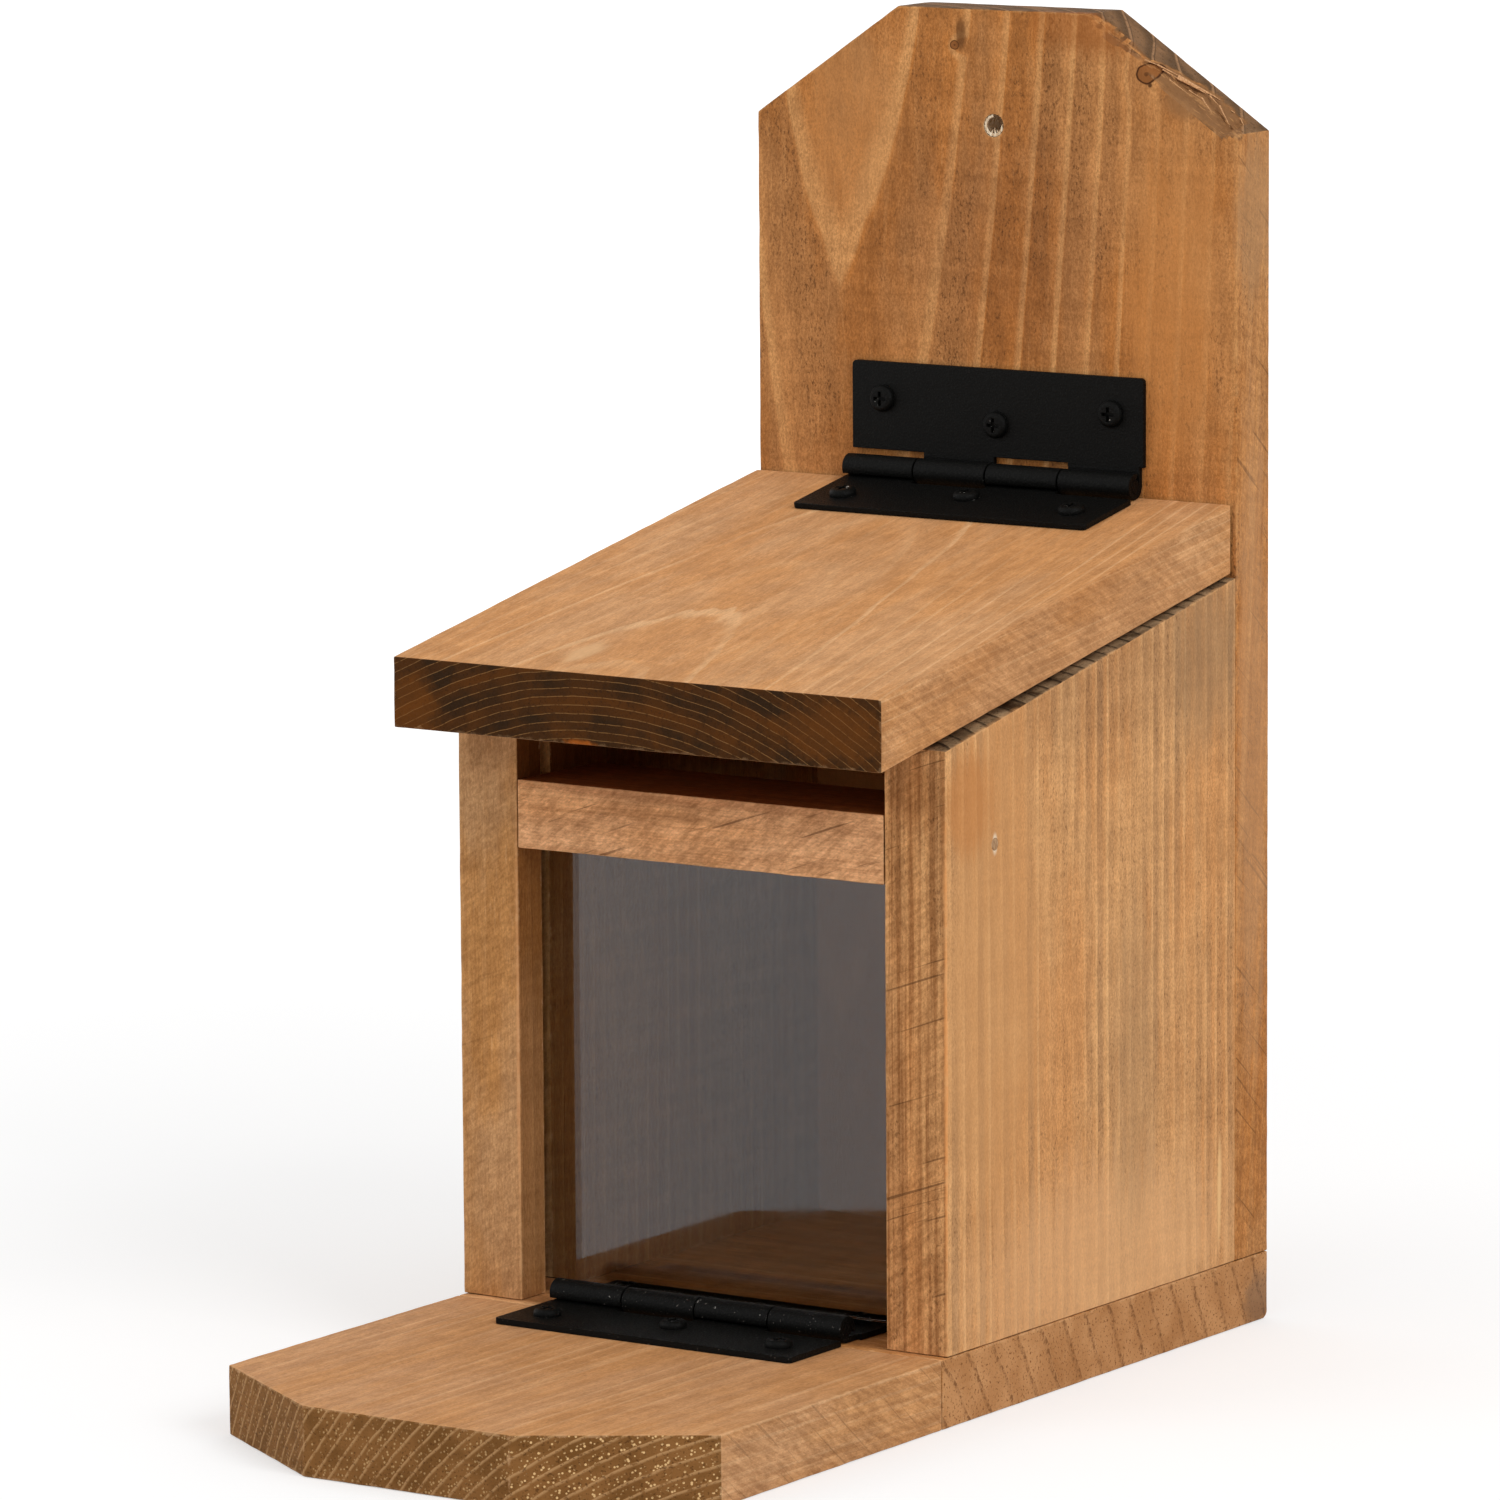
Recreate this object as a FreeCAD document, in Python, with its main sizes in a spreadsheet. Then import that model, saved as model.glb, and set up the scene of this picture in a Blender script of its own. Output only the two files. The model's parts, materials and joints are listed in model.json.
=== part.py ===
import FreeCAD, Part
import math
import os
import Sketcher

# A feeder box for squirrels: a nut box with a lifting roof, a clear front and a fold-up landing board.
# It hangs on a wall or a tree by one hole, or stands on its floor board.
# Frame: X to the right, Y towards the wall, Z up, in millimetres.
# The origin is the centre of the floor board's underside.

# Driving sizes
DRIVING_SIZES = {
    # Floor, back and side boards
    "box_width": 125.0,
    "box_depth": 120.0,
    "board_thick": 15.2,
    "back_thick": 14.0,
    "side_thick": 15.5,
    "back_height": 274.0,
    "crown_run": 37.5,
    "crown_drop": 25.0,
    "hanging_hole": 5.0,
    "hole_below_top": 25.6,
    "side_setback": 1.9,
    "side_front_height": 129.2,
    "side_back_height": 152.3,
    "arris_radius": 0.4,
    "heel_radius": 2.0,
    # Front rail and clear pane
    "rail_height": 15.0,
    "rail_depth": 29.4,
    "slot_height": 14.7,
    "kerf_setback": 9.1,
    "kerf_width": 3.6,
    "kerf_depth": 4.0,
    "pane_thick": 2.0,
    "pane_side_gap": 0.5,
    "pane_rear_gap": 0.1,
    "pane_top_gap": 1.0,
    # Roof board
    "roof_width": 124.3,
    "roof_shift": -0.75,
    "roof_overhang": 21.0,
    "roof_rear_gap": 0.4,
    "roof_front_rise": 2.3,
    "roof_back_rise": 0.7,
    # Landing board
    "landing_length": 106.6,
    "landing_side": 83.2,
    "landing_cut_run": 36.5,
    "seam_gap": 0.2,
    # Hinges
    "leaf_length": 76.0,
    "leaf_width": 23.7,
    "leaf_thick": 1.3,
    "leaf_corner": 1.0,
    "leaf_hole": 3.6,
    "barrel_diameter": 5.8,
    "barrel_step": 1.0,
    "knuckle_gap": 0.4,
    "relief_slot": 1.1,
    "roll_opening": 20.0,
    "pin_play": 0.05,
    "coat_gap": 0.1,
    "roof_hinge_shift": 1.5,
    "landing_hinge_shift": -0.4,
    # Hinge screws
    "screw_end_inset": 8.2,
    "screw_edge_inset": 8.2,
    "centre_screw_inset": 12.4,
    "head_diameter": 6.0,
    "head_height": 1.65,
    "head_round": 1.1,
    "shank_diameter": 2.9,
    "screw_length": 12.0,
    "tip_length": 3.0,
    "recess_length": 3.2,
    "recess_width": 0.8,
    "recess_depth": 1.1,
    # Nails
    "nail_diameter": 1.8,
    "nail_length": 35.0,
    "nail_point": 3.0,
    "nail_head": 2.6,
    "nail_head_thick": 0.8,
    "nail_set": 0.3,
    "rail_nail_setback": 19.1,
    "back_nail_inset": 25.0,
    "floor_nail_inset": 30.0,
    "heel_nail_inset": 32.0,
    # Clearance all round a screw or nail in wood
    "fastener_gap": 0.05,
}

KNUCKLES = 4
BACK_NAILS_PER_SIDE = 3

doc = FreeCAD.newDocument("squirrel_feeder_box")
sheet = doc.addObject("Spreadsheet::Sheet", "Sizes")
for row, (alias, size) in enumerate(DRIVING_SIZES.items(), start=1):
    sheet.set(f"A{row}", alias)
    sheet.set(f"B{row}", str(size))
    sheet.setAlias(f"B{row}", alias)
doc.recompute()

# Places across the box
HALF_WIDTH = "(Sizes.box_width / 2)"
INNER_HALF = f"({HALF_WIDTH} - Sizes.side_thick)"
SIDE_MIDDLE = f"({HALF_WIDTH} - Sizes.side_thick / 2)"

# Places from front to back
FLOOR_FRONT = "(-(Sizes.box_depth + Sizes.back_thick) / 2)"
BACK_FACE = f"({FLOOR_FRONT} + Sizes.box_depth)"
REAR_FACE = f"({BACK_FACE} + Sizes.back_thick)"
BACK_MIDDLE = f"({BACK_FACE} + Sizes.back_thick / 2)"
SIDE_FRONT = f"({FLOOR_FRONT} + Sizes.side_setback)"
KERF_FRONT = f"({SIDE_FRONT} + Sizes.kerf_setback)"
KERF_REAR = f"({KERF_FRONT} + Sizes.kerf_width)"
PANE_REAR = f"({KERF_REAR} - Sizes.pane_rear_gap)"
RAIL_NAIL_Y = f"({SIDE_FRONT} + Sizes.rail_nail_setback)"
LANDING_REAR = f"({FLOOR_FRONT} - Sizes.seam_gap)"

# Heights
FLOOR_TOP = "Sizes.board_thick"
BACK_TOP = f"({FLOOR_TOP} + Sizes.back_height)"
SIDE_FRONT_TOP = f"({FLOOR_TOP} + Sizes.side_front_height)"
SIDE_BACK_TOP = f"({FLOOR_TOP} + Sizes.side_back_height)"
RAIL_TOP = f"({SIDE_FRONT_TOP} - Sizes.slot_height)"
RAIL_BOTTOM = f"({RAIL_TOP} - Sizes.rail_height)"
RAIL_MIDDLE = f"({RAIL_TOP} - Sizes.rail_height / 2)"

# Slope of the roof's underside, which clears the side panels' tops at both ends
ROOF_LOW = f"({SIDE_FRONT_TOP} + Sizes.roof_front_rise)"
ROOF_HIGH = f"({SIDE_BACK_TOP} + Sizes.roof_back_rise)"
SLOPE = f"(({ROOF_HIGH} - {ROOF_LOW}) / (Sizes.box_depth - Sizes.side_setback))"
PITCH = f"atan({SLOPE})"

# Hinge axes, each one barrel radius and a coat of paint off the wood
BARREL_RADIUS = "(Sizes.barrel_diameter / 2)"
BORE_RADIUS = f"({BARREL_RADIUS} - Sizes.leaf_thick)"
AXIS_RISE = f"({BARREL_RADIUS} + Sizes.coat_gap)"
ROOF_AXIS_Y = f"({BACK_FACE} - {AXIS_RISE})"
ROOF_AXIS_Z = (
    f"({ROOF_HIGH} - {SLOPE} * {AXIS_RISE}"
    f" + (Sizes.board_thick + {AXIS_RISE}) / cos({PITCH}))"
)
LANDING_AXIS_Y = f"({FLOOR_FRONT} + {AXIS_RISE})"
LANDING_AXIS_Z = f"({FLOOR_TOP} + {AXIS_RISE})"

# Lengths and places on a hinge, from the middle of its leaves
HALF_LEAF = "(Sizes.leaf_length / 2)"
BARREL_LENGTH = "(Sizes.leaf_length - Sizes.barrel_step)"
KNUCKLE_LENGTH = f"(({BARREL_LENGTH} - {KNUCKLES - 1} * Sizes.knuckle_gap) / {KNUCKLES})"
KNUCKLE_PITCH = f"({KNUCKLE_LENGTH} + Sizes.knuckle_gap)"
PLATE_START = f"({BARREL_RADIUS} + Sizes.relief_slot)"
PIN_RADIUS = f"({BORE_RADIUS} - Sizes.pin_play)"
SCREW_SEAT = f"(Sizes.leaf_thick - {BARREL_RADIUS})"
OUTER_SCREW_X = f"({HALF_LEAF} - Sizes.screw_end_inset)"
OUTER_SCREW_REACH = "(Sizes.leaf_width - Sizes.screw_edge_inset)"
CENTRE_SCREW_REACH = "(Sizes.leaf_width - Sizes.centre_screw_inset)"
SCREW_SPOTS = (
    (f"-{OUTER_SCREW_X}", OUTER_SCREW_REACH),
    ("0", CENTRE_SCREW_REACH),
    (OUTER_SCREW_X, OUTER_SCREW_REACH),
)

# The clear pane stands on the head of the floor leaf's centre screw
PANE_BOTTOM = (
    f"({FLOOR_TOP} + Sizes.coat_gap + Sizes.leaf_thick"
    " + Sizes.head_height + Sizes.fastener_gap)"
)
PANE_TOP = f"({RAIL_BOTTOM} - Sizes.pane_top_gap)"

# Holes for fasteners
PILOT_DIAMETER = "(Sizes.shank_diameter + 2 * Sizes.fastener_gap)"
PILOT_DEPTH = (
    "(Sizes.screw_length - Sizes.leaf_thick - Sizes.coat_gap + Sizes.fastener_gap)"
)
NAIL_HOLE = "(Sizes.nail_diameter + 2 * Sizes.fastener_gap)"
HEAD_HOLE = "(Sizes.nail_head + 2 * Sizes.fastener_gap)"
HEAD_DEPTH = "(Sizes.nail_set + Sizes.nail_head_thick + Sizes.fastener_gap)"
NAIL_REACH = "(Sizes.nail_set + Sizes.nail_length + Sizes.fastener_gap)"


def value_of(formula):
    """Number of millimetres or degrees that a formula gives now."""
    result = sheet.evalExpression(formula)
    return float(getattr(result, "Value", result))


def add_body(label):
    """New body whose label names its node and its file."""
    body = doc.addObject("PartDesign::Body", label)
    body.Label = label
    return body


def add_sketch(body, name, plane, offset):
    """Sketch on one of the body's origin planes, moved along the plane's normal."""
    sketch = body.newObject("Sketcher::SketchObject", name)
    planes = {feature.Role: feature for feature in body.Origin.OriginFeatures}
    sketch.AttachmentSupport = [(planes[plane], "")]
    sketch.MapMode = "FlatFace"
    sketch.setExpression("AttachmentOffset.Base.z", offset)
    return sketch


def constrain(sketch, name, formula, *constraint):
    """Named constraint of a sketch, bound to a formula."""
    index = sketch.addConstraint(Sketcher.Constraint(*constraint, value_of(formula)))
    sketch.renameConstraint(index, name)
    sketch.setExpression(f"Constraints.{name}", formula)


def place_point(sketch, name, geometry, point, across, up):
    """Hold one point of a sketch at two formulas, measured from the sketch's origin."""
    constrain(sketch, f"{name}_x", across, "DistanceX", -1, 1, geometry, point)
    constrain(sketch, f"{name}_y", up, "DistanceY", -1, 1, geometry, point)


def polygon_sketch(body, name, plane, offset, corners):
    """Closed outline through corners that are given as pairs of formulas."""
    sketch = add_sketch(body, name, plane, offset)
    points = [FreeCAD.Vector(value_of(x), value_of(y), 0) for x, y in corners]
    following = points[1:] + points[:1]
    for start, end in zip(points, following):
        sketch.addGeometry(Part.LineSegment(start, end), False)
    for index in range(len(points)):
        neighbour = (index + 1) % len(points)
        sketch.addConstraint(Sketcher.Constraint("Coincident", index, 2, neighbour, 1))
    for index, (x, y) in enumerate(corners):
        place_point(sketch, f"corner{index}", index, 1, x, y)
    return sketch


def rectangle(left, right, low, high):
    """Four corners, counter-clockwise."""
    return [(left, low), (right, low), (right, high), (left, high)]


def circle_sketch(body, name, plane, offset, centres, diameter):
    """Equal circles round centres that are given as pairs of formulas."""
    sketch = add_sketch(body, name, plane, offset)
    radius = value_of(diameter) / 2
    for index, (x, y) in enumerate(centres):
        centre = FreeCAD.Vector(value_of(x), value_of(y), 0)
        circle = Part.Circle(centre, FreeCAD.Vector(0, 0, 1), radius)
        sketch.addGeometry(circle, False)
        place_point(sketch, f"centre{index}", index, 3, x, y)
        constrain(sketch, f"size{index}", diameter, "Diameter", index)
    return sketch


def add_pad(body, sketch, length):
    """Pad of a sketch along its normal."""
    pad = body.newObject("PartDesign::Pad", f"{sketch.Name}_pad")
    pad.Profile = sketch
    pad.setExpression("Length", length)
    doc.recompute()
    return pad


def add_pocket(body, sketch, depth, along_normal=False):
    """Pocket of a sketch against its normal, or along it. It has to take material away."""
    before = body.Shape.Volume
    pocket = body.newObject("PartDesign::Pocket", f"{sketch.Name}_pocket")
    pocket.Profile = sketch
    pocket.setExpression("Length", depth)
    pocket.Reversed = along_normal
    doc.recompute()
    if not body.Shape.Volume < before:
        raise RuntimeError(f"{pocket.Name} cuts nothing")
    return pocket


def round_edges(body, name, radius, chosen):
    """Fillet on the edges of the body's tip for which chosen is true."""
    tip = body.Tip
    numbered = enumerate(tip.Shape.Edges, start=1)
    names = [f"Edge{number}" for number, edge in numbered if chosen(edge)]
    fillet = body.newObject("PartDesign::Fillet", name)
    fillet.Base = (tip, names)
    fillet.setExpression("Radius", radius)
    doc.recompute()
    return fillet


def is_straight(edge):
    """True for a straight edge."""
    return isinstance(edge.Curve, Part.Line)


def ease_arrises(body):
    """Slightly rounded arrises all round a board."""
    round_edges(body, f"{body.Name}_arrises", "Sizes.arris_radius", is_straight)


def drill(body, name, plane, offset, centres, diameter, depth, along_normal=False):
    """Round blind holes that start on a plane and go into the body."""
    sketch = circle_sketch(body, name, plane, offset, centres, diameter)
    add_pocket(body, sketch, depth, along_normal)


def drill_for_nails(body, name, plane, offset, centres, along_normal=False):
    """Holes for nails whose heads are set just under the face on this plane."""
    drill(body, f"{name}_shanks", plane, offset, centres, NAIL_HOLE, NAIL_REACH, along_normal)
    drill(body, f"{name}_heads", plane, offset, centres, HEAD_HOLE, HEAD_DEPTH, along_normal)


def screw_spots(middle, axis, side):
    """Centres of a leaf's three screws on a board, from the hinge's middle and axis."""
    return [(f"{middle} + {x}", f"{axis} + {side} * {reach}") for x, reach in SCREW_SPOTS]


def even_heights(low, high, count):
    """Formulas for heights spread evenly between two formulas."""
    step = f"(({high}) - ({low})) / {count - 1}"
    return [f"({low}) + {index} * {step}" for index in range(count)]


# Nail places, which the boards and the nails share
BACK_NAIL_HEIGHTS = even_heights(
    f"{FLOOR_TOP} + Sizes.back_nail_inset",
    f"{SIDE_BACK_TOP} - Sizes.back_nail_inset",
    BACK_NAILS_PER_SIDE,
)
FLOOR_NAIL_PLACES = (
    f"({FLOOR_FRONT} + Sizes.floor_nail_inset)",
    f"({BACK_FACE} - Sizes.floor_nail_inset)",
)
BACK_NAIL_SPOTS = [
    (f"{side} * {SIDE_MIDDLE}", height) for side in (-1, 1) for height in BACK_NAIL_HEIGHTS
]
FLOOR_NAIL_SPOTS = [
    (f"{side} * {SIDE_MIDDLE}", place) for side in (-1, 1) for place in FLOOR_NAIL_PLACES
]
HEEL_NAIL_SPOTS = [
    (f"{side} * ({HALF_WIDTH} - Sizes.heel_nail_inset)", BACK_MIDDLE) for side in (-1, 1)
]
RAIL_NAIL_SPOT = (RAIL_NAIL_Y, RAIL_MIDDLE)


def make_floor_board():
    """Floor board under the whole box, with a rounded heel at its lower rear edge."""
    body = add_body("floor_board")
    corners = rectangle(f"-{HALF_WIDTH}", HALF_WIDTH, FLOOR_FRONT, REAR_FACE)
    sketch = polygon_sketch(body, "floor_outline", "XY_Plane", "0", corners)
    add_pad(body, sketch, FLOOR_TOP)
    rear = value_of(REAR_FACE)

    def is_heel(edge):
        return all(abs(v.Y - rear) < 0.01 and abs(v.Z) < 0.01 for v in edge.Vertexes)

    round_edges(body, "floor_heel", "Sizes.heel_radius", is_heel)
    ease_arrises(body)
    spots = screw_spots("Sizes.landing_hinge_shift", LANDING_AXIS_Y, 1)
    drill(body, "floor_pilots", "XY_Plane", FLOOR_TOP, spots, PILOT_DIAMETER, PILOT_DEPTH)
    nails = FLOOR_NAIL_SPOTS + HEEL_NAIL_SPOTS
    drill_for_nails(body, "floor_nails", "XY_Plane", "0", nails, along_normal=True)
    return body


def make_back_board():
    """Tall back board with a cropped crown and the hanging hole, standing on the floor board."""
    body = add_body("back_board")
    shoulder = f"({BACK_TOP} - Sizes.crown_drop)"
    crown_half = f"({HALF_WIDTH} - Sizes.crown_run)"
    corners = [
        (f"-{HALF_WIDTH}", FLOOR_TOP),
        (HALF_WIDTH, FLOOR_TOP),
        (HALF_WIDTH, shoulder),
        (crown_half, BACK_TOP),
        (f"-{crown_half}", BACK_TOP),
        (f"-{HALF_WIDTH}", shoulder),
    ]
    sketch = polygon_sketch(body, "back_outline", "XZ_Plane", f"-{REAR_FACE}", corners)
    add_pad(body, sketch, "Sizes.back_thick")
    ease_arrises(body)
    front = f"-{BACK_FACE}"
    hole = [("0", f"{BACK_TOP} - Sizes.hole_below_top")]
    drill(body, "back_hanging_hole", "XZ_Plane", front, hole, "Sizes.hanging_hole", "Sizes.back_thick")
    spots = screw_spots("Sizes.roof_hinge_shift", ROOF_AXIS_Z, 1)
    drill(body, "back_pilots", "XZ_Plane", front, spots, PILOT_DIAMETER, PILOT_DEPTH)
    rear = f"-{REAR_FACE}"
    drill_for_nails(body, "back_nails", "XZ_Plane", rear, BACK_NAIL_SPOTS, along_normal=True)
    drill(
        body, "back_heel_nails", "XY_Plane", FLOOR_TOP, HEEL_NAIL_SPOTS,
        NAIL_HOLE, f"{NAIL_REACH} - {FLOOR_TOP}", along_normal=True,
    )
    return body


def make_side_panel(label, side):
    """Side panel with a sloping top and the kerf that holds the pane. Side is -1 left, 1 right."""
    body = add_body(label)
    corners = [
        (SIDE_FRONT, FLOOR_TOP),
        (BACK_FACE, FLOOR_TOP),
        (BACK_FACE, SIDE_BACK_TOP),
        (SIDE_FRONT, SIDE_FRONT_TOP),
    ]
    low_face = INNER_HALF if side > 0 else f"-{HALF_WIDTH}"
    outer_face = f"{side} * {HALF_WIDTH}"
    inner_face = f"{side} * {INNER_HALF}"
    sketch = polygon_sketch(body, f"{label}_outline", "YZ_Plane", low_face, corners)
    add_pad(body, sketch, "Sizes.side_thick")
    ease_arrises(body)
    kerf_bed = f"{side} * ({INNER_HALF} + Sizes.kerf_depth)"
    kerf = polygon_sketch(
        body, f"{label}_kerf", "XY_Plane", FLOOR_TOP,
        rectangle(inner_face, kerf_bed, KERF_FRONT, KERF_REAR),
    )
    add_pocket(body, kerf, "Sizes.side_back_height", along_normal=True)
    inwards = side > 0
    drill_for_nails(
        body, f"{label}_rail_nail", "YZ_Plane", outer_face, [RAIL_NAIL_SPOT], along_normal=not inwards
    )
    own_back_nails = [(f"{side} * {SIDE_MIDDLE}", height) for height in BACK_NAIL_HEIGHTS]
    drill(
        body, f"{label}_back_nails", "XZ_Plane", f"-{BACK_FACE}", own_back_nails,
        NAIL_HOLE, f"{NAIL_REACH} - Sizes.back_thick", along_normal=True,
    )
    own_floor_nails = [(f"{side} * {SIDE_MIDDLE}", place) for place in FLOOR_NAIL_PLACES]
    drill(
        body, f"{label}_floor_nails", "XY_Plane", FLOOR_TOP, own_floor_nails,
        NAIL_HOLE, f"{NAIL_REACH} - {FLOOR_TOP}", along_normal=True,
    )
    return body


def make_front_rail():
    """Rail laid flat between the side panels, over the pane."""
    body = add_body("front_rail")
    rear = f"({SIDE_FRONT} + Sizes.rail_depth)"
    corners = rectangle(f"-{INNER_HALF}", INNER_HALF, SIDE_FRONT, rear)
    sketch = polygon_sketch(body, "rail_outline", "XY_Plane", RAIL_BOTTOM, corners)
    add_pad(body, sketch, "Sizes.rail_height")
    ease_arrises(body)
    depth = f"{NAIL_REACH} - Sizes.side_thick"
    for name, face, towards_right in (("left", f"-{INNER_HALF}", True), ("right", INNER_HALF, False)):
        drill(
            body, f"rail_{name}_nail", "YZ_Plane", face, [RAIL_NAIL_SPOT],
            NAIL_HOLE, depth, along_normal=towards_right,
        )
    return body


def make_clear_pane():
    """Clear pane in the kerfs of the side panels."""
    body = add_body("clear_pane")
    half = f"({INNER_HALF} + Sizes.kerf_depth - Sizes.pane_side_gap)"
    front = f"({PANE_REAR} - Sizes.pane_thick)"
    corners = rectangle(f"-{half}", half, front, PANE_REAR)
    sketch = polygon_sketch(body, "pane_outline", "XY_Plane", PANE_BOTTOM, corners)
    add_pad(body, sketch, f"{PANE_TOP} - {PANE_BOTTOM}")
    return body


def on_roof(depth_place, height):
    """Place along the roof, from the hinge axis, of a plumb plane at a height off the axis."""
    return f"(({depth_place} - {ROOF_AXIS_Y} + ({height}) * sin({PITCH})) / cos({PITCH}))"


def make_roof_board():
    """Roof board with plumb ends, drawn in the tilted frame of its hinge."""
    body = add_body("roof_board")
    top = f"(-{AXIS_RISE})"
    underside = f"(-{AXIS_RISE} - Sizes.board_thick)"
    front = f"({FLOOR_FRONT} - Sizes.roof_overhang)"
    rear = f"({BACK_FACE} - Sizes.roof_rear_gap)"
    corners = [
        (on_roof(front, underside), underside),
        (on_roof(rear, underside), underside),
        (on_roof(rear, top), top),
        (on_roof(front, top), top),
    ]
    left = "(Sizes.roof_shift - Sizes.roof_hinge_shift - Sizes.roof_width / 2)"
    sketch = polygon_sketch(body, "roof_outline", "YZ_Plane", left, corners)
    add_pad(body, sketch, "Sizes.roof_width")
    ease_arrises(body)
    spots = screw_spots("0", "0", -1)
    drill(body, "roof_pilots", "XY_Plane", top, spots, PILOT_DIAMETER, PILOT_DEPTH)
    seat_on_hinge(body, ROOF_HINGE, PITCH)
    return body


def make_landing_board():
    """Landing board with cropped front corners, level with the floor board."""
    body = add_body("landing_board")
    shoulder = f"({LANDING_REAR} - Sizes.landing_side)"
    front = f"({LANDING_REAR} - Sizes.landing_length)"
    front_half = f"({HALF_WIDTH} - Sizes.landing_cut_run)"
    corners = [
        (f"-{front_half}", front),
        (front_half, front),
        (HALF_WIDTH, shoulder),
        (HALF_WIDTH, LANDING_REAR),
        (f"-{HALF_WIDTH}", LANDING_REAR),
        (f"-{HALF_WIDTH}", shoulder),
    ]
    sketch = polygon_sketch(body, "landing_outline", "XY_Plane", "0", corners)
    add_pad(body, sketch, "Sizes.board_thick")
    ease_arrises(body)
    spots = screw_spots("Sizes.landing_hinge_shift", LANDING_AXIS_Y, -1)
    drill(body, "landing_pilots", "XY_Plane", FLOOR_TOP, spots, PILOT_DIAMETER, PILOT_DEPTH)
    return body


# A hinge's frame has X along the pin and Z away from the wood, with its origin at the pin's middle.
ROOF_HINGE = ("Sizes.roof_hinge_shift", ROOF_AXIS_Y, ROOF_AXIS_Z)
LANDING_HINGE = ("Sizes.landing_hinge_shift", LANDING_AXIS_Y, LANDING_AXIS_Z)


def seat_on_hinge(piece, hinge, tilt):
    """Place a piece at a hinge's axis, turned about the pin by a tilt in degrees."""
    piece.Placement = FreeCAD.Placement(
        FreeCAD.Vector(*[value_of(place) for place in hinge]),
        FreeCAD.Rotation(FreeCAD.Vector(1, 0, 0), value_of(tilt)),
    )
    for coordinate, place in zip("xyz", hinge):
        piece.setExpression(f"Placement.Base.{coordinate}", place)
    if value_of(tilt):
        piece.setExpression("Placement.Rotation.Angle", tilt)


def knuckle_sketch(body, name, side, start):
    """Profile of a rolled knuckle and its neck to the plate, which lies on this side of the pin."""
    sketch = add_sketch(body, name, "YZ_Plane", start)
    outer = value_of(BARREL_RADIUS)
    inner = value_of(BORE_RADIUS)
    neck = side * value_of(PLATE_START)
    opening = math.radians(value_of("Sizes.roll_opening"))
    bottom = -math.pi / 2
    free_end = -opening if side > 0 else math.pi + opening
    sweep = (free_end, 2 * math.pi + bottom) if side > 0 else (bottom, free_end)
    axis = FreeCAD.Vector(0, 0, 1)
    for radius in (outer, inner):
        circle = Part.Circle(FreeCAD.Vector(0, 0, 0), axis, radius)
        sketch.addGeometry(Part.ArcOfCircle(circle, *sweep), False)
    end = FreeCAD.Vector(math.cos(free_end), math.sin(free_end), 0)
    corners = [(0, -outer), (neck, -outer), (neck, -inner), (0, -inner)]
    points = [FreeCAD.Vector(x, y, 0) for x, y in corners]
    sketch.addGeometry(Part.LineSegment(end * outer, end * inner), False)
    for first, second in zip(points, points[1:]):
        sketch.addGeometry(Part.LineSegment(first, second), False)
    free_point, plate_point = (1, 2) if side > 0 else (2, 1)
    joined = (
        (0, 3, -1, 1),
        (1, 3, -1, 1),
        (2, 1, 0, free_point),
        (2, 2, 1, free_point),
        (3, 1, 0, plate_point),
        (3, 2, 4, 1),
        (4, 2, 5, 1),
        (5, 2, 1, plate_point),
    )
    for pair in joined:
        sketch.addConstraint(Sketcher.Constraint("Coincident", *pair))
    sketch.addConstraint(Sketcher.Constraint("Horizontal", 3))
    sketch.addConstraint(Sketcher.Constraint("Vertical", 4))
    sketch.addConstraint(Sketcher.Constraint("Horizontal", 5))
    sketch.addConstraint(Sketcher.Constraint("PointOnObject", 3, 1, -2))
    sketch.addConstraint(Sketcher.Constraint("PointOnObject", 5, 2, -2))
    sketch.addConstraint(Sketcher.Constraint("PointOnObject", -1, 1, 2))
    constrain(sketch, "outer_radius", BARREL_RADIUS, "Radius", 0)
    constrain(sketch, "bore_radius", BORE_RADIUS, "Radius", 1)
    constrain(sketch, "neck", f"{side} * {PLATE_START}", "DistanceX", -1, 1, 3, 2)
    drop = f"-{BARREL_RADIUS} * sin(Sizes.roll_opening)"
    constrain(sketch, "roll_end", drop, "DistanceY", -1, 1, 2, 1)
    return sketch


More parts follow.
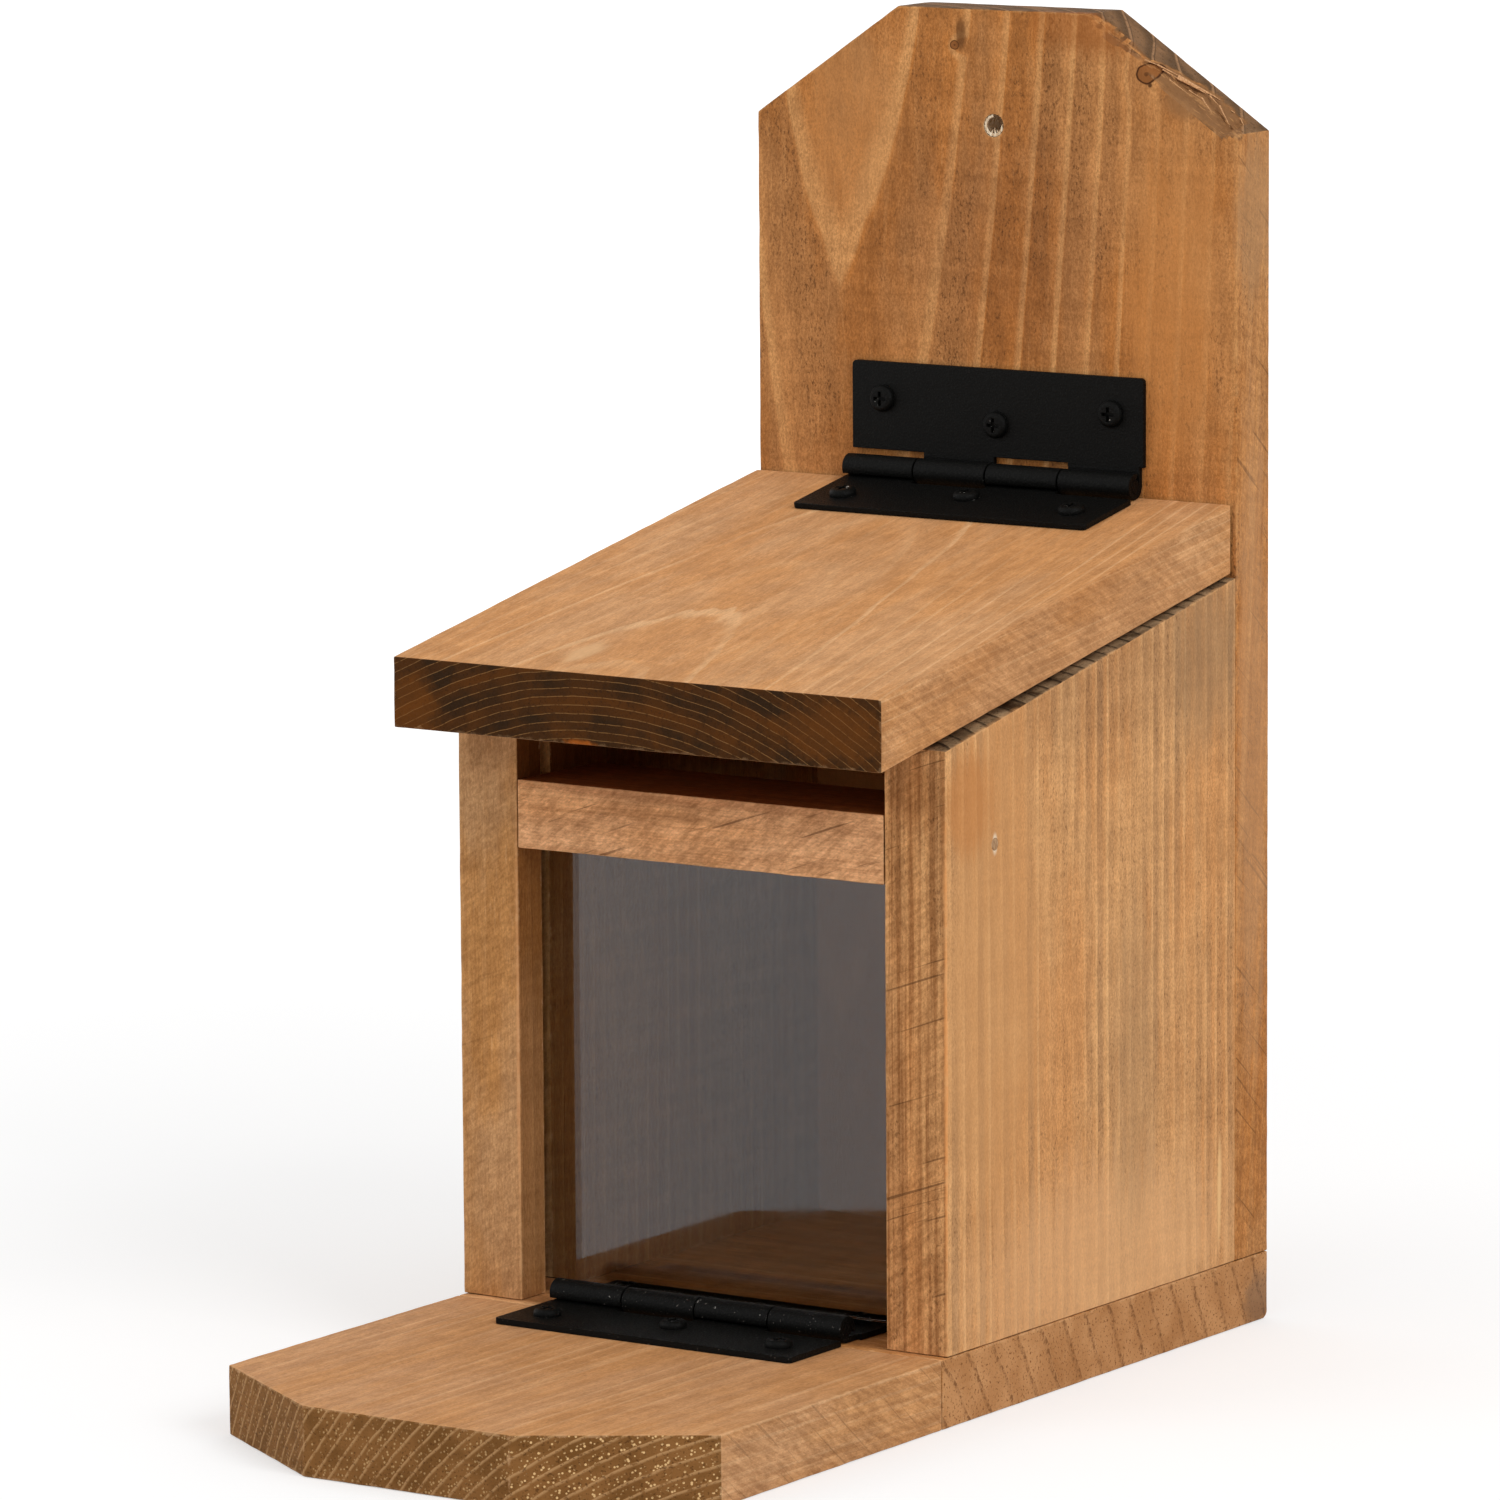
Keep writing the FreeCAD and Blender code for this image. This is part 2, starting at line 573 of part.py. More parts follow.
def make_leaf(label, side, first_knuckle, hinge, tilt):
    """Hinge leaf with every second knuckle rolled from its plate, seated on its board."""
    body = add_body(label)
    near_edge = f"{side} * {PLATE_START}"
    far_edge = f"{side} * Sizes.leaf_width"
    underside = f"-{BARREL_RADIUS}"
    corners = rectangle(f"-{HALF_LEAF}", HALF_LEAF, near_edge, far_edge)
    plate = polygon_sketch(body, f"{label}_plate", "XY_Plane", underside, corners)
    add_pad(body, plate, "Sizes.leaf_thick")
    outer = value_of("Sizes.leaf_width")

    def is_outer_corner(edge):
        upright = abs(edge.tangentAt(edge.FirstParameter).z) > 0.9
        return upright and abs(abs(edge.CenterOfMass.y) - outer) < 0.01

    round_edges(body, f"{label}_corners", "Sizes.leaf_corner", is_outer_corner)
    spots = [(x, f"{side} * {reach}") for x, reach in SCREW_SPOTS]
    drill(body, f"{label}_holes", "XY_Plane", SCREW_SEAT, spots, "Sizes.leaf_hole", "Sizes.leaf_thick")
    start = f"{first_knuckle} * {KNUCKLE_PITCH} - {HALF_LEAF}"
    knuckle = add_pad(body, knuckle_sketch(body, f"{label}_knuckle", side, start), KNUCKLE_LENGTH)
    pattern = body.newObject("PartDesign::LinearPattern", f"{label}_knuckles")
    pattern.Originals = [knuckle]
    pattern.Direction = (knuckle.Profile[0], ["N_Axis"])
    pattern.Mode = "Spacing"
    pattern.setExpression("Offset", f"2 * {KNUCKLE_PITCH}")
    pattern.Occurrences = KNUCKLES // 2
    body.Tip = pattern
    seat_on_hinge(body, hinge, tilt)
    doc.recompute()
    return body


def make_pin(label, hinge):
    """Plain hinge pin, as long as the barrel."""
    body = add_body(label)
    circle = circle_sketch(
        body, f"{label}_section", "YZ_Plane", f"-{HALF_LEAF}", [("0", "0")], f"2 * {PIN_RADIUS}"
    )
    add_pad(body, circle, BARREL_LENGTH)
    seat_on_hinge(body, hinge, "0")
    return body


def revolved_body(label, corners):
    """Body turned about its Z axis from a profile in the XZ plane."""
    body = add_body(label)
    sketch = polygon_sketch(body, f"{label}_profile", "XZ_Plane", "0", corners)
    turned = body.newObject("PartDesign::Revolution", f"{label}_turned")
    turned.Profile = sketch
    turned.ReferenceAxis = (sketch, ["V_Axis"])
    turned.Angle = 360.0
    doc.recompute()
    return body


def make_hinge_screw():
    """Pan head wood screw with a cross recess, pointing down, with its head's seat at Z = 0."""
    head = "(Sizes.head_diameter / 2)"
    shank = "(Sizes.shank_diameter / 2)"
    tip = "(-Sizes.screw_length)"
    corners = [
        ("0", tip),
        (shank, f"{tip} + Sizes.tip_length"),
        (shank, "0"),
        (head, "0"),
        (head, "Sizes.head_height"),
        ("0", "Sizes.head_height"),
    ]
    body = revolved_body("hinge_screw", corners)
    top = value_of("Sizes.head_height")

    def is_head_rim(edge):
        return all(abs(vertex.Z - top) < 0.01 for vertex in edge.Vertexes) and not is_straight(edge)

    round_edges(body, "head_round", "Sizes.head_round", is_head_rim)
    half_long = "(Sizes.recess_length / 2)"
    half_wide = "(Sizes.recess_width / 2)"
    cross = (("along", half_long, half_wide), ("across", half_wide, half_long))
    for name, half_x, half_y in cross:
        corners = rectangle(f"-{half_x}", half_x, f"-{half_y}", half_y)
        slot = polygon_sketch(body, f"recess_{name}", "XY_Plane", "Sizes.head_height", corners)
        add_pocket(body, slot, "Sizes.recess_depth")
    return body


def make_nail():
    """Lost-head nail, pointing down, with the top of its head at Z = 0."""
    head = "(Sizes.nail_head / 2)"
    shank = "(Sizes.nail_diameter / 2)"
    point = "(-Sizes.nail_length)"
    corners = [
        ("0", point),
        (shank, f"{point} + Sizes.nail_point"),
        (shank, "-Sizes.nail_head_thick"),
        (head, "-Sizes.nail_head_thick"),
        (head, "0"),
        ("0", "0"),
    ]
    return revolved_body("nail", corners)


def link_to(piece, name, place, rotation):
    """Copy of a fastener at a place given as three formulas."""
    link = doc.addObject("App::Link", name)
    link.LinkedObject = piece
    link.Placement = FreeCAD.Placement(FreeCAD.Vector(0, 0, 0), rotation)
    for coordinate, formula in zip("xyz", place):
        link.setExpression(f"Placement.Base.{coordinate}", formula)
    return link


def make_group(label, links):
    """Group of separate fasteners in one node."""
    group = doc.addObject("Part::Compound", label)
    group.Label = label
    group.Links = links
    doc.recompute()
    return group


def make_hinge_screws(label, screw, side, hinge, tilt):
    """The three screws of one leaf, with their heads on the leaf."""
    upright = FreeCAD.Rotation()
    links = [
        link_to(screw, f"{label}_{index}", (x, f"{side} * {reach}", SCREW_SEAT), upright)
        for index, (x, reach) in enumerate(SCREW_SPOTS)
    ]
    group = make_group(label, links)
    seat_on_hinge(group, hinge, tilt)
    return group


def make_nails(label, nail, places, rotations):
    """Nails at their places, each turned the way it was driven."""
    links = [
        link_to(nail, f"{label}_{index}", place, rotation)
        for index, (place, rotation) in enumerate(zip(places, rotations))
    ]
    return make_group(label, links)


def make_rail_nails(nail):
    """One nail through each side panel into the rail's end."""
    head_x = f"({HALF_WIDTH} - Sizes.nail_set)"
    places = [(f"{side} * {head_x}", *RAIL_NAIL_SPOT) for side in (-1, 1)]
    rotations = [FreeCAD.Rotation(FreeCAD.Vector(0, 1, 0), side * 90) for side in (-1, 1)]
    return make_nails("rail_nails", nail, places, rotations)


def make_back_nails(nail):
    """Nails through the back board into the side panels' rear edges."""
    head_y = f"({REAR_FACE} - Sizes.nail_set)"
    places = [(x, head_y, z) for x, z in BACK_NAIL_SPOTS]
    forwards = FreeCAD.Rotation(FreeCAD.Vector(1, 0, 0), -90)
    return make_nails("back_nails", nail, places, [forwards] * len(places))


def make_floor_nails(nail):
    """Nails up through the floor board into the side panels and the back board."""
    places = [(x, y, "Sizes.nail_set") for x, y in FLOOR_NAIL_SPOTS + HEEL_NAIL_SPOTS]
    upwards = FreeCAD.Rotation(FreeCAD.Vector(1, 0, 0), 180)
    return make_nails("floor_nails", nail, places, [upwards] * len(places))


def make_hinge(name, hinge, fixed, moving, screw):
    """Leaves, pin and screws of one hinge. Fixed and moving are a leaf's name and tilt."""
    pieces = [make_pin(f"{name}_pin", hinge)]
    for (leaf, tilt), side, first_knuckle in ((fixed, 1, 1), (moving, -1, 0)):
        pieces.append(make_leaf(f"{name}_{leaf}_leaf", side, first_knuckle, hinge, tilt))
        pieces.append(make_hinge_screws(f"{name}_{leaf}_screws", screw, side, hinge, tilt))
    return pieces


def check_document():
    """Stop if any object of the document failed."""
    for item in doc.Objects:
        if {"Invalid", "Error"} & set(item.State):
            raise RuntimeError(f"{item.Name}: {item.State}")


def write_parts(pieces):
    """Check each piece's shape and write it to its own file."""
    os.makedirs("parts", exist_ok=True)
    for piece in pieces:
        shape = piece.Shape
        if shape.isNull() or not shape.isValid() or not shape.Solids:
            raise RuntimeError(f"{piece.Label} has no valid shape")
    for piece in pieces:
        piece.Shape.exportStep(f"parts/{piece.Label}.step")
        print(f"{piece.Label}: {len(piece.Shape.Solids)} solids, {piece.Shape.Volume:.1f} mm3")


screw = make_hinge_screw()
nail = make_nail()
pieces = [
    make_floor_board(),
    make_back_board(),
    make_side_panel("left_side_panel", -1),
    make_side_panel("right_side_panel", 1),
    make_front_rail(),
    make_clear_pane(),
    make_roof_board(),
    make_landing_board(),
    *make_hinge("roof_hinge", ROOF_HINGE, ("wall", "90"), ("roof", PITCH), screw),
    *make_hinge("landing_hinge", LANDING_HINGE, ("floor", "0"), ("board", "0"), screw),
    make_rail_nails(nail),
    make_back_nails(nail),
    make_floor_nails(nail),
]
doc.recompute()
check_document()
write_parts(pieces)
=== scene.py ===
import json
import logging
import math
from contextlib import contextmanager
from dataclasses import dataclass, field
from enum import Enum
from typing import Callable, Iterator, Sequence

import bpy
import numpy as np
from mathutils import Matrix, Vector, noise
from mathutils.kdtree import KDTree

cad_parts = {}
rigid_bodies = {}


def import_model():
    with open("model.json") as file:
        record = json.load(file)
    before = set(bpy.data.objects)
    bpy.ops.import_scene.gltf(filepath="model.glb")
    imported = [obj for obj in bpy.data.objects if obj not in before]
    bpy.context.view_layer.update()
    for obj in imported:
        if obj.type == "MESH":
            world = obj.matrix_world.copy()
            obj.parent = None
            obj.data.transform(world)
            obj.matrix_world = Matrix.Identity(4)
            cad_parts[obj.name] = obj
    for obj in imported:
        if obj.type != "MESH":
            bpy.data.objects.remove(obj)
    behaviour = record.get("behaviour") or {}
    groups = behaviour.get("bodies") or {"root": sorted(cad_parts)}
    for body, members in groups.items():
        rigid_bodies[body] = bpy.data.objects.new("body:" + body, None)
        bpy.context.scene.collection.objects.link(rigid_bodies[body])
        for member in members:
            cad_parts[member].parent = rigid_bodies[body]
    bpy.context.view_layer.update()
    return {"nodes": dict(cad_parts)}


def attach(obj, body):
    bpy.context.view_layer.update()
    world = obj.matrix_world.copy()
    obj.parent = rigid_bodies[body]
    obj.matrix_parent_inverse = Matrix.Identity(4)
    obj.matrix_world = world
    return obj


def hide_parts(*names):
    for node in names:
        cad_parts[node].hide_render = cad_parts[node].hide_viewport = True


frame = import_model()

LOG = logging.getLogger("feeder_box")
MM = 0.001

Colour = tuple[float, float, float, float]
Triple = tuple[float, float, float]
Plane = tuple[Vector, Vector]
Socket = bpy.types.NodeSocket

# Faces of the boards, in millimetres from the frame's origin
BACK_FRONT = 53.0
SIDE_FACE = 62.5
SIDE_FRONT = -65.1
ROOF_FRONT = -88.0


class Body(Enum):
    """The bodies of the part that a piece can ride on."""

    BOX = "box"
    ROOF = "roof"
    LANDING = "landing"


class Slot(Enum):
    """The record's material slots for the finishes of the pieces made here."""

    WOOD = "stained_softwood"
    PANE = "clear_plastic"
    BLACK = "black_coated_steel"


class Along(Enum):
    """A direction in the frame: of a board's grain, or of the faces that the saw left."""

    UP = (0.0, 0.0, 1.0)
    DEEP = (0.0, 1.0, 0.0)
    ACROSS = (1.0, 0.0, 0.0)


def hue(red: int, green: int, blue: int) -> Colour:
    """Turns a screen colour into a shader's linear one.

    Args:
        red: Red from 0 to 255.
        green: Green from 0 to 255.
        blue: Blue from 0 to 255.

    Returns:
        The linear colour with an alpha of 1.
    """
    linear = [(v / 255 + 0.055) / 1.055 for v in (red, green, blue)]
    return (linear[0] ** 2.4, linear[1] ** 2.4, linear[2] ** 2.4, 1.0)


# Node trees


class Recipe:
    """The node tree of a material or of the room, put together one node at a time."""

    def __init__(self, owner: bpy.types.Material | bpy.types.World) -> None:
        """Starts with an empty tree.

        Args:
            owner: The material or the world that the tree belongs to.
        """
        owner.use_nodes = True
        self.owner = owner
        self.tree = owner.node_tree
        self.tree.nodes.clear()

    @classmethod
    def named(cls, name: str) -> "Recipe":
        """Starts a new material by its name."""
        return cls(bpy.data.materials.new(name))

    def feed(self, socket: Socket, value: object) -> None:
        """Links a socket, or sets its value.

        Args:
            socket: The input to fill.
            value: Another node's output, or a plain value.
        """
        if isinstance(value, Socket):
            self.tree.links.new(value, socket)
        else:
            socket.default_value = value

    def node(self, kind: str, inputs: dict[str, object] | None = None, **settings: object) -> bpy.types.Node:
        """Adds a node.

        Args:
            kind: The node's type, without its ShaderNode prefix.
            inputs: What goes to its inputs, by name.
            **settings: Its own properties.

        Returns:
            The new node.
        """
        made = self.tree.nodes.new("ShaderNode" + kind)
        for name, value in settings.items():
            setattr(made, name, value)
        for name, value in (inputs or {}).items():
            self.feed(made.inputs[name], value)
        return made

    def maths(self, operation: str, *values: object) -> Socket:
        """Does a sum on single values.

        Args:
            operation: The Math node's operation.
            *values: Its inputs in order.

        Returns:
            The result.
        """
        made = self.node("Math", operation=operation)
        for socket, value in zip(made.inputs, values):
            self.feed(socket, value)
        return made.outputs[0]

    def times(self, first: object, *others: object) -> Socket:
        """Multiplies single values.

        Args:
            first: The first value.
            *others: What it is multiplied by, in order.

        Returns:
            The product.
        """
        for other in others:
            first = self.maths("MULTIPLY", first, other)
        return first

    def plus(self, first: object, *others: object) -> Socket:
        """Adds single values.

        Args:
            first: The first value.
            *others: What is added to it, in order.

        Returns:
            The sum.
        """
        for other in others:
            first = self.maths("ADD", first, other)
        return first

    def vector(self, operation: str, *values: object) -> Socket:
        """Does a sum on vectors.

        Args:
            operation: The Vector Math node's operation.
            *values: Its inputs in order.

        Returns:
            The result, a single value for a length or a dot product.
        """
        made = self.node("VectorMath", operation=operation)
        for socket, value in zip(made.inputs, values):
            self.feed(socket, value)
        return made.outputs[1 if operation in ("LENGTH", "DOT_PRODUCT") else 0]

    def parts(self, value: object) -> bpy.types.NodeOutputs:
        """Splits a vector into X, Y and Z."""
        return self.node("SeparateXYZ", {"Vector": value}).outputs

    def turned(self, place: object, turn: Triple) -> Socket:
        """Turns a place about the origin, by radians."""
        return self.node("Mapping", {"Vector": place, "Rotation": turn}).outputs[0]

    def attribute(self, name: str) -> Socket:
        """Reads one of the mesh's own point attributes."""
        return self.node("Attribute", attribute_name=name).outputs["Fac"]

    def millimetres(self) -> Socket:
        """Gives the place on the piece in millimetres."""
        place = self.node("TexCoord").outputs["Object"]
        return self.vector("MULTIPLY", place, (1000.0, 1000.0, 1000.0))

    def step(self, value: object, low: float, high: float, start: float = 0.0, end: float = 1.0) -> Socket:
        """Turns one range smoothly into another.

        Args:
            value: The value to change.
            low: Where the result is start.
            high: Where the result is end.
            start: The result at and below low.
            end: The result at and above high.

        Returns:
            The new value.
        """
        ranges = {"Value": value, "From Min": low, "From Max": high, "To Min": start, "To Max": end}
        return self.node("MapRange", ranges, interpolation_type="SMOOTHSTEP").outputs[0]

    def noise(self, place: object, per_mm: Triple, detail: float = 2.0, rough: float = 0.5) -> Socket:
        """Makes a noise that is stretched differently in each direction.

        Args:
            place: The place in millimetres.
            per_mm: How many waves fit in a millimetre in each direction.
            detail: How many finer layers it has.
            rough: How strong these are.

        Returns:
            The noise, about 0.5 in the middle.
        """
        spread = self.vector("MULTIPLY", place, per_mm)
        inputs = {"Vector": spread, "Scale": 1.0, "Detail": detail, "Roughness": rough}
        return self.node("TexNoise", inputs).outputs[0]

    def mix(self, share: object, first: object, second: object, blend: str = "MIX") -> Socket:
        """Mixes two colours.

        Args:
            share: How much of the second.
            first: The first colour.
            second: The second colour.
            blend: The way they are mixed.

        Returns:
            The mixed colour.
        """
        made = self.node("Mix", data_type="RGBA", blend_type=blend)
        for index, value in ((0, share), (6, first), (7, second)):
            self.feed(made.inputs[index], value)
        return made.outputs[2]

    def ramp(self, value: object, stops: Sequence[tuple[float, float]]) -> Socket:
        """Turns a value from 0 to 1 into a grey by a list of stops.

        Args:
            value: The value.
            stops: Pairs of a place and the grey there.

        Returns:
            The grey as a colour output.
        """
        made = self.node("ValToRGB", {"Fac": value})
        points = made.color_ramp.elements
        while len(points) < len(stops):
            points.new(0.5)
        for point, (place, grey) in zip(points, stops):
            point.position = place
            point.color = (grey, grey, grey, 1.0)
        return made.outputs[0]

    def surface(
        self, colour: object, rough: Socket, height: Socket, strength: float, depth: float,
        plain: dict[str, float] | None = None,
    ) -> bpy.types.Material:
        """Ends the tree with a surface and its fine relief.

        Args:
            colour: The base colour.
            rough: The roughness.
            height: What the relief follows.
            strength: The relief's strength.
            depth: The relief's depth in metres.
            plain: Further inputs by name, each one value for the whole surface.

        Returns:
            The finished material.
        """
        bump = self.node("Bump", {"Strength": strength, "Distance": depth, "Height": height}).outputs[0]
        inputs = {"Base Color": colour, "Normal": bump, "Roughness": rough, **(plain or {})}
        return self.finish(self.node("BsdfPrincipled", inputs))

    def finish(self, shader: bpy.types.Node, kind: str = "OutputMaterial") -> bpy.types.ID:
        """Ends the tree with a shader.

        Args:
            shader: The last shader.
            kind: The output node's type.

        Returns:
            The tree's material or world.
        """
        output = self.node(kind)
        self.tree.links.new(shader.outputs[0], output.inputs["Surface"])
        return self.owner


# Finishes

# Pairs of a place across a growth ring and its tone, from dark early wood to the pale late line
RING_TONES = ((0.0, 0.5), (0.05, 0.04), (0.4, 0.26), (0.74, 0.5), (0.9, 1.0), (0.96, 1.0), (1.0, 0.5))

# What shades and streaks multiply a colour by, at their darkest and their lightest
SHADE_DARK: Colour = (0.72, 0.68, 0.64, 1.0)
SHADE_LIGHT: Colour = (1.26, 1.28, 1.3, 1.0)
STREAK_DARK: Colour = (0.62, 0.54, 0.46, 1.0)
STREAK_LIGHT: Colour = (1.26, 1.34, 1.42, 1.0)
FUZZ_DARK: Colour = (0.7, 0.64, 0.58, 1.0)
FUZZ_LIGHT: Colour = (1.24, 1.28, 1.32, 1.0)
PIT_DARK: Colour = (0.5, 0.44, 0.38, 1.0)


@dataclass(frozen=True)
class Cut:
    """How a board was sawn from its log: the turn that brings its grain upright, and where the pith is.

    waver is how far the rings stray, as a share of their width. peak_mm sharpens their arches, and
    lopsided draws them in on the left. A flip of -1 mirrors the log's wood front to back.
    """

    turn_deg: Triple
    pith_mm: Triple
    ring_mm: float
    along: Along
    waver: float = 0.5
    peak_mm: float = 0.0
    lopsided: float = 1.0
    flip: float = 1.0


@dataclass(frozen=True)
class Knot:
    """A knot that runs through a board from front to back."""

    x_mm: float
    z_mm: float
    radius_mm: float


@dataclass(frozen=True)
class Patch:
    """A soft place of another colour: its middle, half its size, its colour, share and way of mixing.

    A square one ends at flat sides, as the inside of the box does. Its top and bottom fade from the share
    of its half height that soft gives.
    """

    middle_mm: Triple
    half_mm: Triple
    colour: Colour
    share: float
    blend: str = "MIX"
    square: bool = False
    soft: float = 0.996


# The inside of the box: its middle and half its size, then the patches that colour it: a plain tan over the
# back board's grain, painted shade over the whole inside, and deeper painted shade under the roof
BOX_MIDDLE = (0.0, -5.85, 92.0)
BOX_HALF = (47.3, 59.05, 77.0)
PAINTED_INSIDE_SHADE = Patch(BOX_MIDDLE, BOX_HALF, (0.62, 0.5, 0.36, 1.0), 0.8, "MULTIPLY", True)
INSIDE_BACK = Patch(BOX_MIDDLE, BOX_HALF, hue(186, 128, 78), 0.75, "MIX", True)
PAINTED_UNDER_ROOF_SHADE = Patch(
    (0.0, -5.85, 142.0), (47.3, 59.05, 27.0), (0.4, 0.28, 0.16, 1.0), 1.0, "MULTIPLY", True, 0.5
)


@dataclass(frozen=True)
class Spot:
    """What the tree of a wood knows about the place that it colours.

    place is the place on the piece and grain the place in the log, both in millimetres. normal is the
    object normal, ring the tone within a growth ring, and own a chance value of the ring's own.
    """

    recipe: Recipe
    place: Socket
    grain: Socket
    normal: Socket
    ring: Socket
    own: Socket


@dataclass(frozen=True)
class StainedWood:
    """Softwood with a brown stain: growth rings cut as the log was, fibres, flecks and a darker end grain."""

    cut: Cut
    tan: Colour = hue(206, 152, 102)
    amber: Colour = hue(200, 136, 76)
    dark: Colour = hue(158, 106, 62)
    pale: Colour = hue(226, 178, 128)
    fleck: Colour = hue(104, 66, 36)
    end_dark: Colour = hue(120, 82, 48)
    end_main: Colour = hue(150, 106, 66)
    end_line: Colour = hue(176, 134, 92)
    end_highlight_colour: Colour = hue(238, 196, 138)
    end_line_share: float = 0.8
    end_line_start: float = 0.72
    end_band: float = 0.0
    end_rings: float = 0.4
    end_highlight_share: float = 0.0
    end_highlight_way: Triple = (0.54, -0.84, 0.0)
    end_broken: float = 0.34
    end_pits: float = 0.6
    ring_share: float = 0.6
    ring_even: float = 0.25
    ring_line: float = 0.45
    ring_deep: float = 0.5
    calm: Triple | None = None
    fleck_share: float = 0.4
    glint_share: float = 0.22
    streak_share: float = 0.3
    grit: float = 0.5
    hair: float = 0.4
    cloud: float = 0.5
    planed: float = 0.25
    sawn: Along | None = None
    fuzz: float = 0.3
    streaked: float = 0.2
    scratched: float = 0.6
    scratch: Colour = hue(84, 52, 28)
    torn: Colour | None = None
    torn_turn: Triple = (0.0, -0.588, 0.0)
    wear_share: float = 0.4
    knots: tuple[Knot, ...] = ()
    knot_brown: Colour = hue(146, 92, 48)
    knot_rim: Colour = hue(70, 38, 16)
    patches: tuple[Patch, ...] = ()

    def material(self, name: str) -> bpy.types.Material:
        """Makes the wood's material.

        Args:
            name: The material's name.

        Returns:
            The material.
        """
        recipe = Recipe.named(name)
        place = recipe.millimetres()
        core, rim, push = self.knot_field(recipe, place)
        spot = self.look_up(recipe, place, push)
        face, fibre = self.face_colour(spot)
        end = self.facing(spot, self.cut.along, 0.5, 0.75)
        if self.torn:
            torn = recipe.attribute("torn")
            end = recipe.times(end, recipe.maths("SUBTRACT", 1.0, torn))
            strand = recipe.noise(recipe.turned(place, self.torn_turn), (0.12, 1.1, 1.1), 3.0, 0.6)
            split = recipe.mix(recipe.step(strand, 0.56, 0.7, 0.0, 0.6), self.torn, self.pale)
            face = recipe.mix(recipe.times(torn, 0.9), face, split)
        if self.knots:
            face = recipe.mix(core, face, self.knot_brown)
            face = recipe.mix(rim, face, self.knot_rim)
        colour = recipe.mix(end, face, self.end_colour(spot))
        if self.sawn:
            colour = self.saw_marks(spot, colour)
        ragged = recipe.noise(spot.grain, (0.5, 0.5, 0.05), 3.0, 0.6)
        for patch in self.patches:
            colour = self.patched(spot, ragged, colour, patch)
        colour = self.worn(spot, colour)
        grey = recipe.node("RGBToBW", {"Color": spot.ring}).outputs[0]
        height = recipe.plus(recipe.times(fibre, 0.55), recipe.times(grey, 0.3))
        rough = recipe.step(fibre, 0.3, 0.7, 0.86, 0.66)
        return recipe.surface(colour, rough, height, 0.6, 0.0004, {"Specular IOR Level": 0.12})

    def look_up(self, recipe: Recipe, place: Socket, push: object) -> Spot:
        """Finds the place in the log and its growth ring.

        Args:
            recipe: The material's tree.
            place: The place in millimetres.
            push: How far knots push the rings, in millimetres.

        Returns:
            What is known about the place.
        """
        inputs = {
            "Vector": place,
            "Scale": (1.0, self.cut.flip, 1.0),
            "Rotation": tuple(math.radians(angle) for angle in self.cut.turn_deg),
            "Location": tuple(-shift for shift in self.cut.pith_mm),
        }
        grain = recipe.node("Mapping", inputs).outputs[0]
        ring, own = self.ring_field(recipe, grain, push)
        return Spot(recipe, place, grain, recipe.node("TexCoord").outputs["Normal"], ring, own)

    def facing(self, spot: Spot, along: Along, low: float, high: float) -> Socket:
        """Finds faces that look along a direction.

        Args:
            spot: What is known about the place.
            along: The direction.
            low: The share of the direction where it starts.
            high: The share where it is full.

        Returns:
            1 on those faces and 0 elsewhere.
        """
        share = spot.recipe.maths("ABSOLUTE", spot.recipe.vector("DOT_PRODUCT", spot.normal, along.value))
        return spot.recipe.step(share, low, high)

    def knot_field(self, recipe: Recipe, place: Socket) -> tuple[object, object, object]:
        """Finds the knots and how far they push the rings aside.

        Args:
            recipe: The material's tree.
            place: The place in millimetres.

        Returns:
            The share of knot, the share of its dark rim, and the push in millimetres.
        """
        core: object = 0.0
        rim: object = 0.0
        push: object = 0.0
        for knot in self.knots:
            off = recipe.vector("SUBTRACT", place, (knot.x_mm, 0.0, knot.z_mm))
            flat = recipe.vector("MULTIPLY", off, (1 / knot.radius_mm, 0.0, 1.12 / knot.radius_mm))
            wobble = recipe.times(recipe.noise(place, (0.4, 0.0, 0.4)), 0.3)
            reach = recipe.plus(recipe.vector("LENGTH", flat), wobble)
            core = recipe.maths("MAXIMUM", core, recipe.step(reach, 1.2, 1.1))
            edge = recipe.times(recipe.step(reach, 0.96, 1.1), recipe.step(reach, 1.28, 1.14))
            heart = recipe.step(reach, 0.42, 0.3, 0.0, 0.6)
            rim = recipe.maths("MAXIMUM", rim, recipe.maths("MAXIMUM", edge, heart))
            push = recipe.plus(push, recipe.step(reach, 4.5, 0.8, 0.0, 1.6))
        return core, rim, push

    def ring_field(self, recipe: Recipe, grain: Socket, push: object) -> tuple[Socket, Socket]:
        """Draws the growth rings through the whole log.

        Args:
            recipe: The material's tree.
            grain: The place in the log, with its pith at X and Y of 0.
            push: How far knots push the rings, in millimetres.

        Returns:
            The tone within a ring, from 0 to 1, and a chance value of the ring's own.
        """
        parts = recipe.parts(grain)
        aside = recipe.maths("MAXIMUM", parts["X"], recipe.times(parts["X"], -self.cut.lopsided))
        deep = parts["Y"]
        out = recipe.maths("SQRT", recipe.maths("MULTIPLY_ADD", aside, aside, recipe.times(deep, deep)))
        if self.cut.peak_mm:
            cusp = recipe.maths("MINIMUM", recipe.times(aside, 1 / 7), 1.0)
            out = recipe.plus(out, recipe.times(cusp, self.cut.peak_mm))
        slow = recipe.maths("SUBTRACT", recipe.noise(grain, (0.022, 0.022, 0.006), 1.0), 0.5)
        quick = recipe.maths("SUBTRACT", recipe.noise(grain, (0.16, 0.16, 0.022)), 0.5)
        reach = self.cut.waver * self.cut.ring_mm
        out = recipe.plus(out, recipe.times(slow, 2.0 * reach), recipe.times(quick, reach), push)
        turns = recipe.maths("DIVIDE", out, self.cut.ring_mm)
        tone = recipe.ramp(recipe.maths("FRACT", turns), RING_TONES)
        count = recipe.maths("FLOOR", turns)
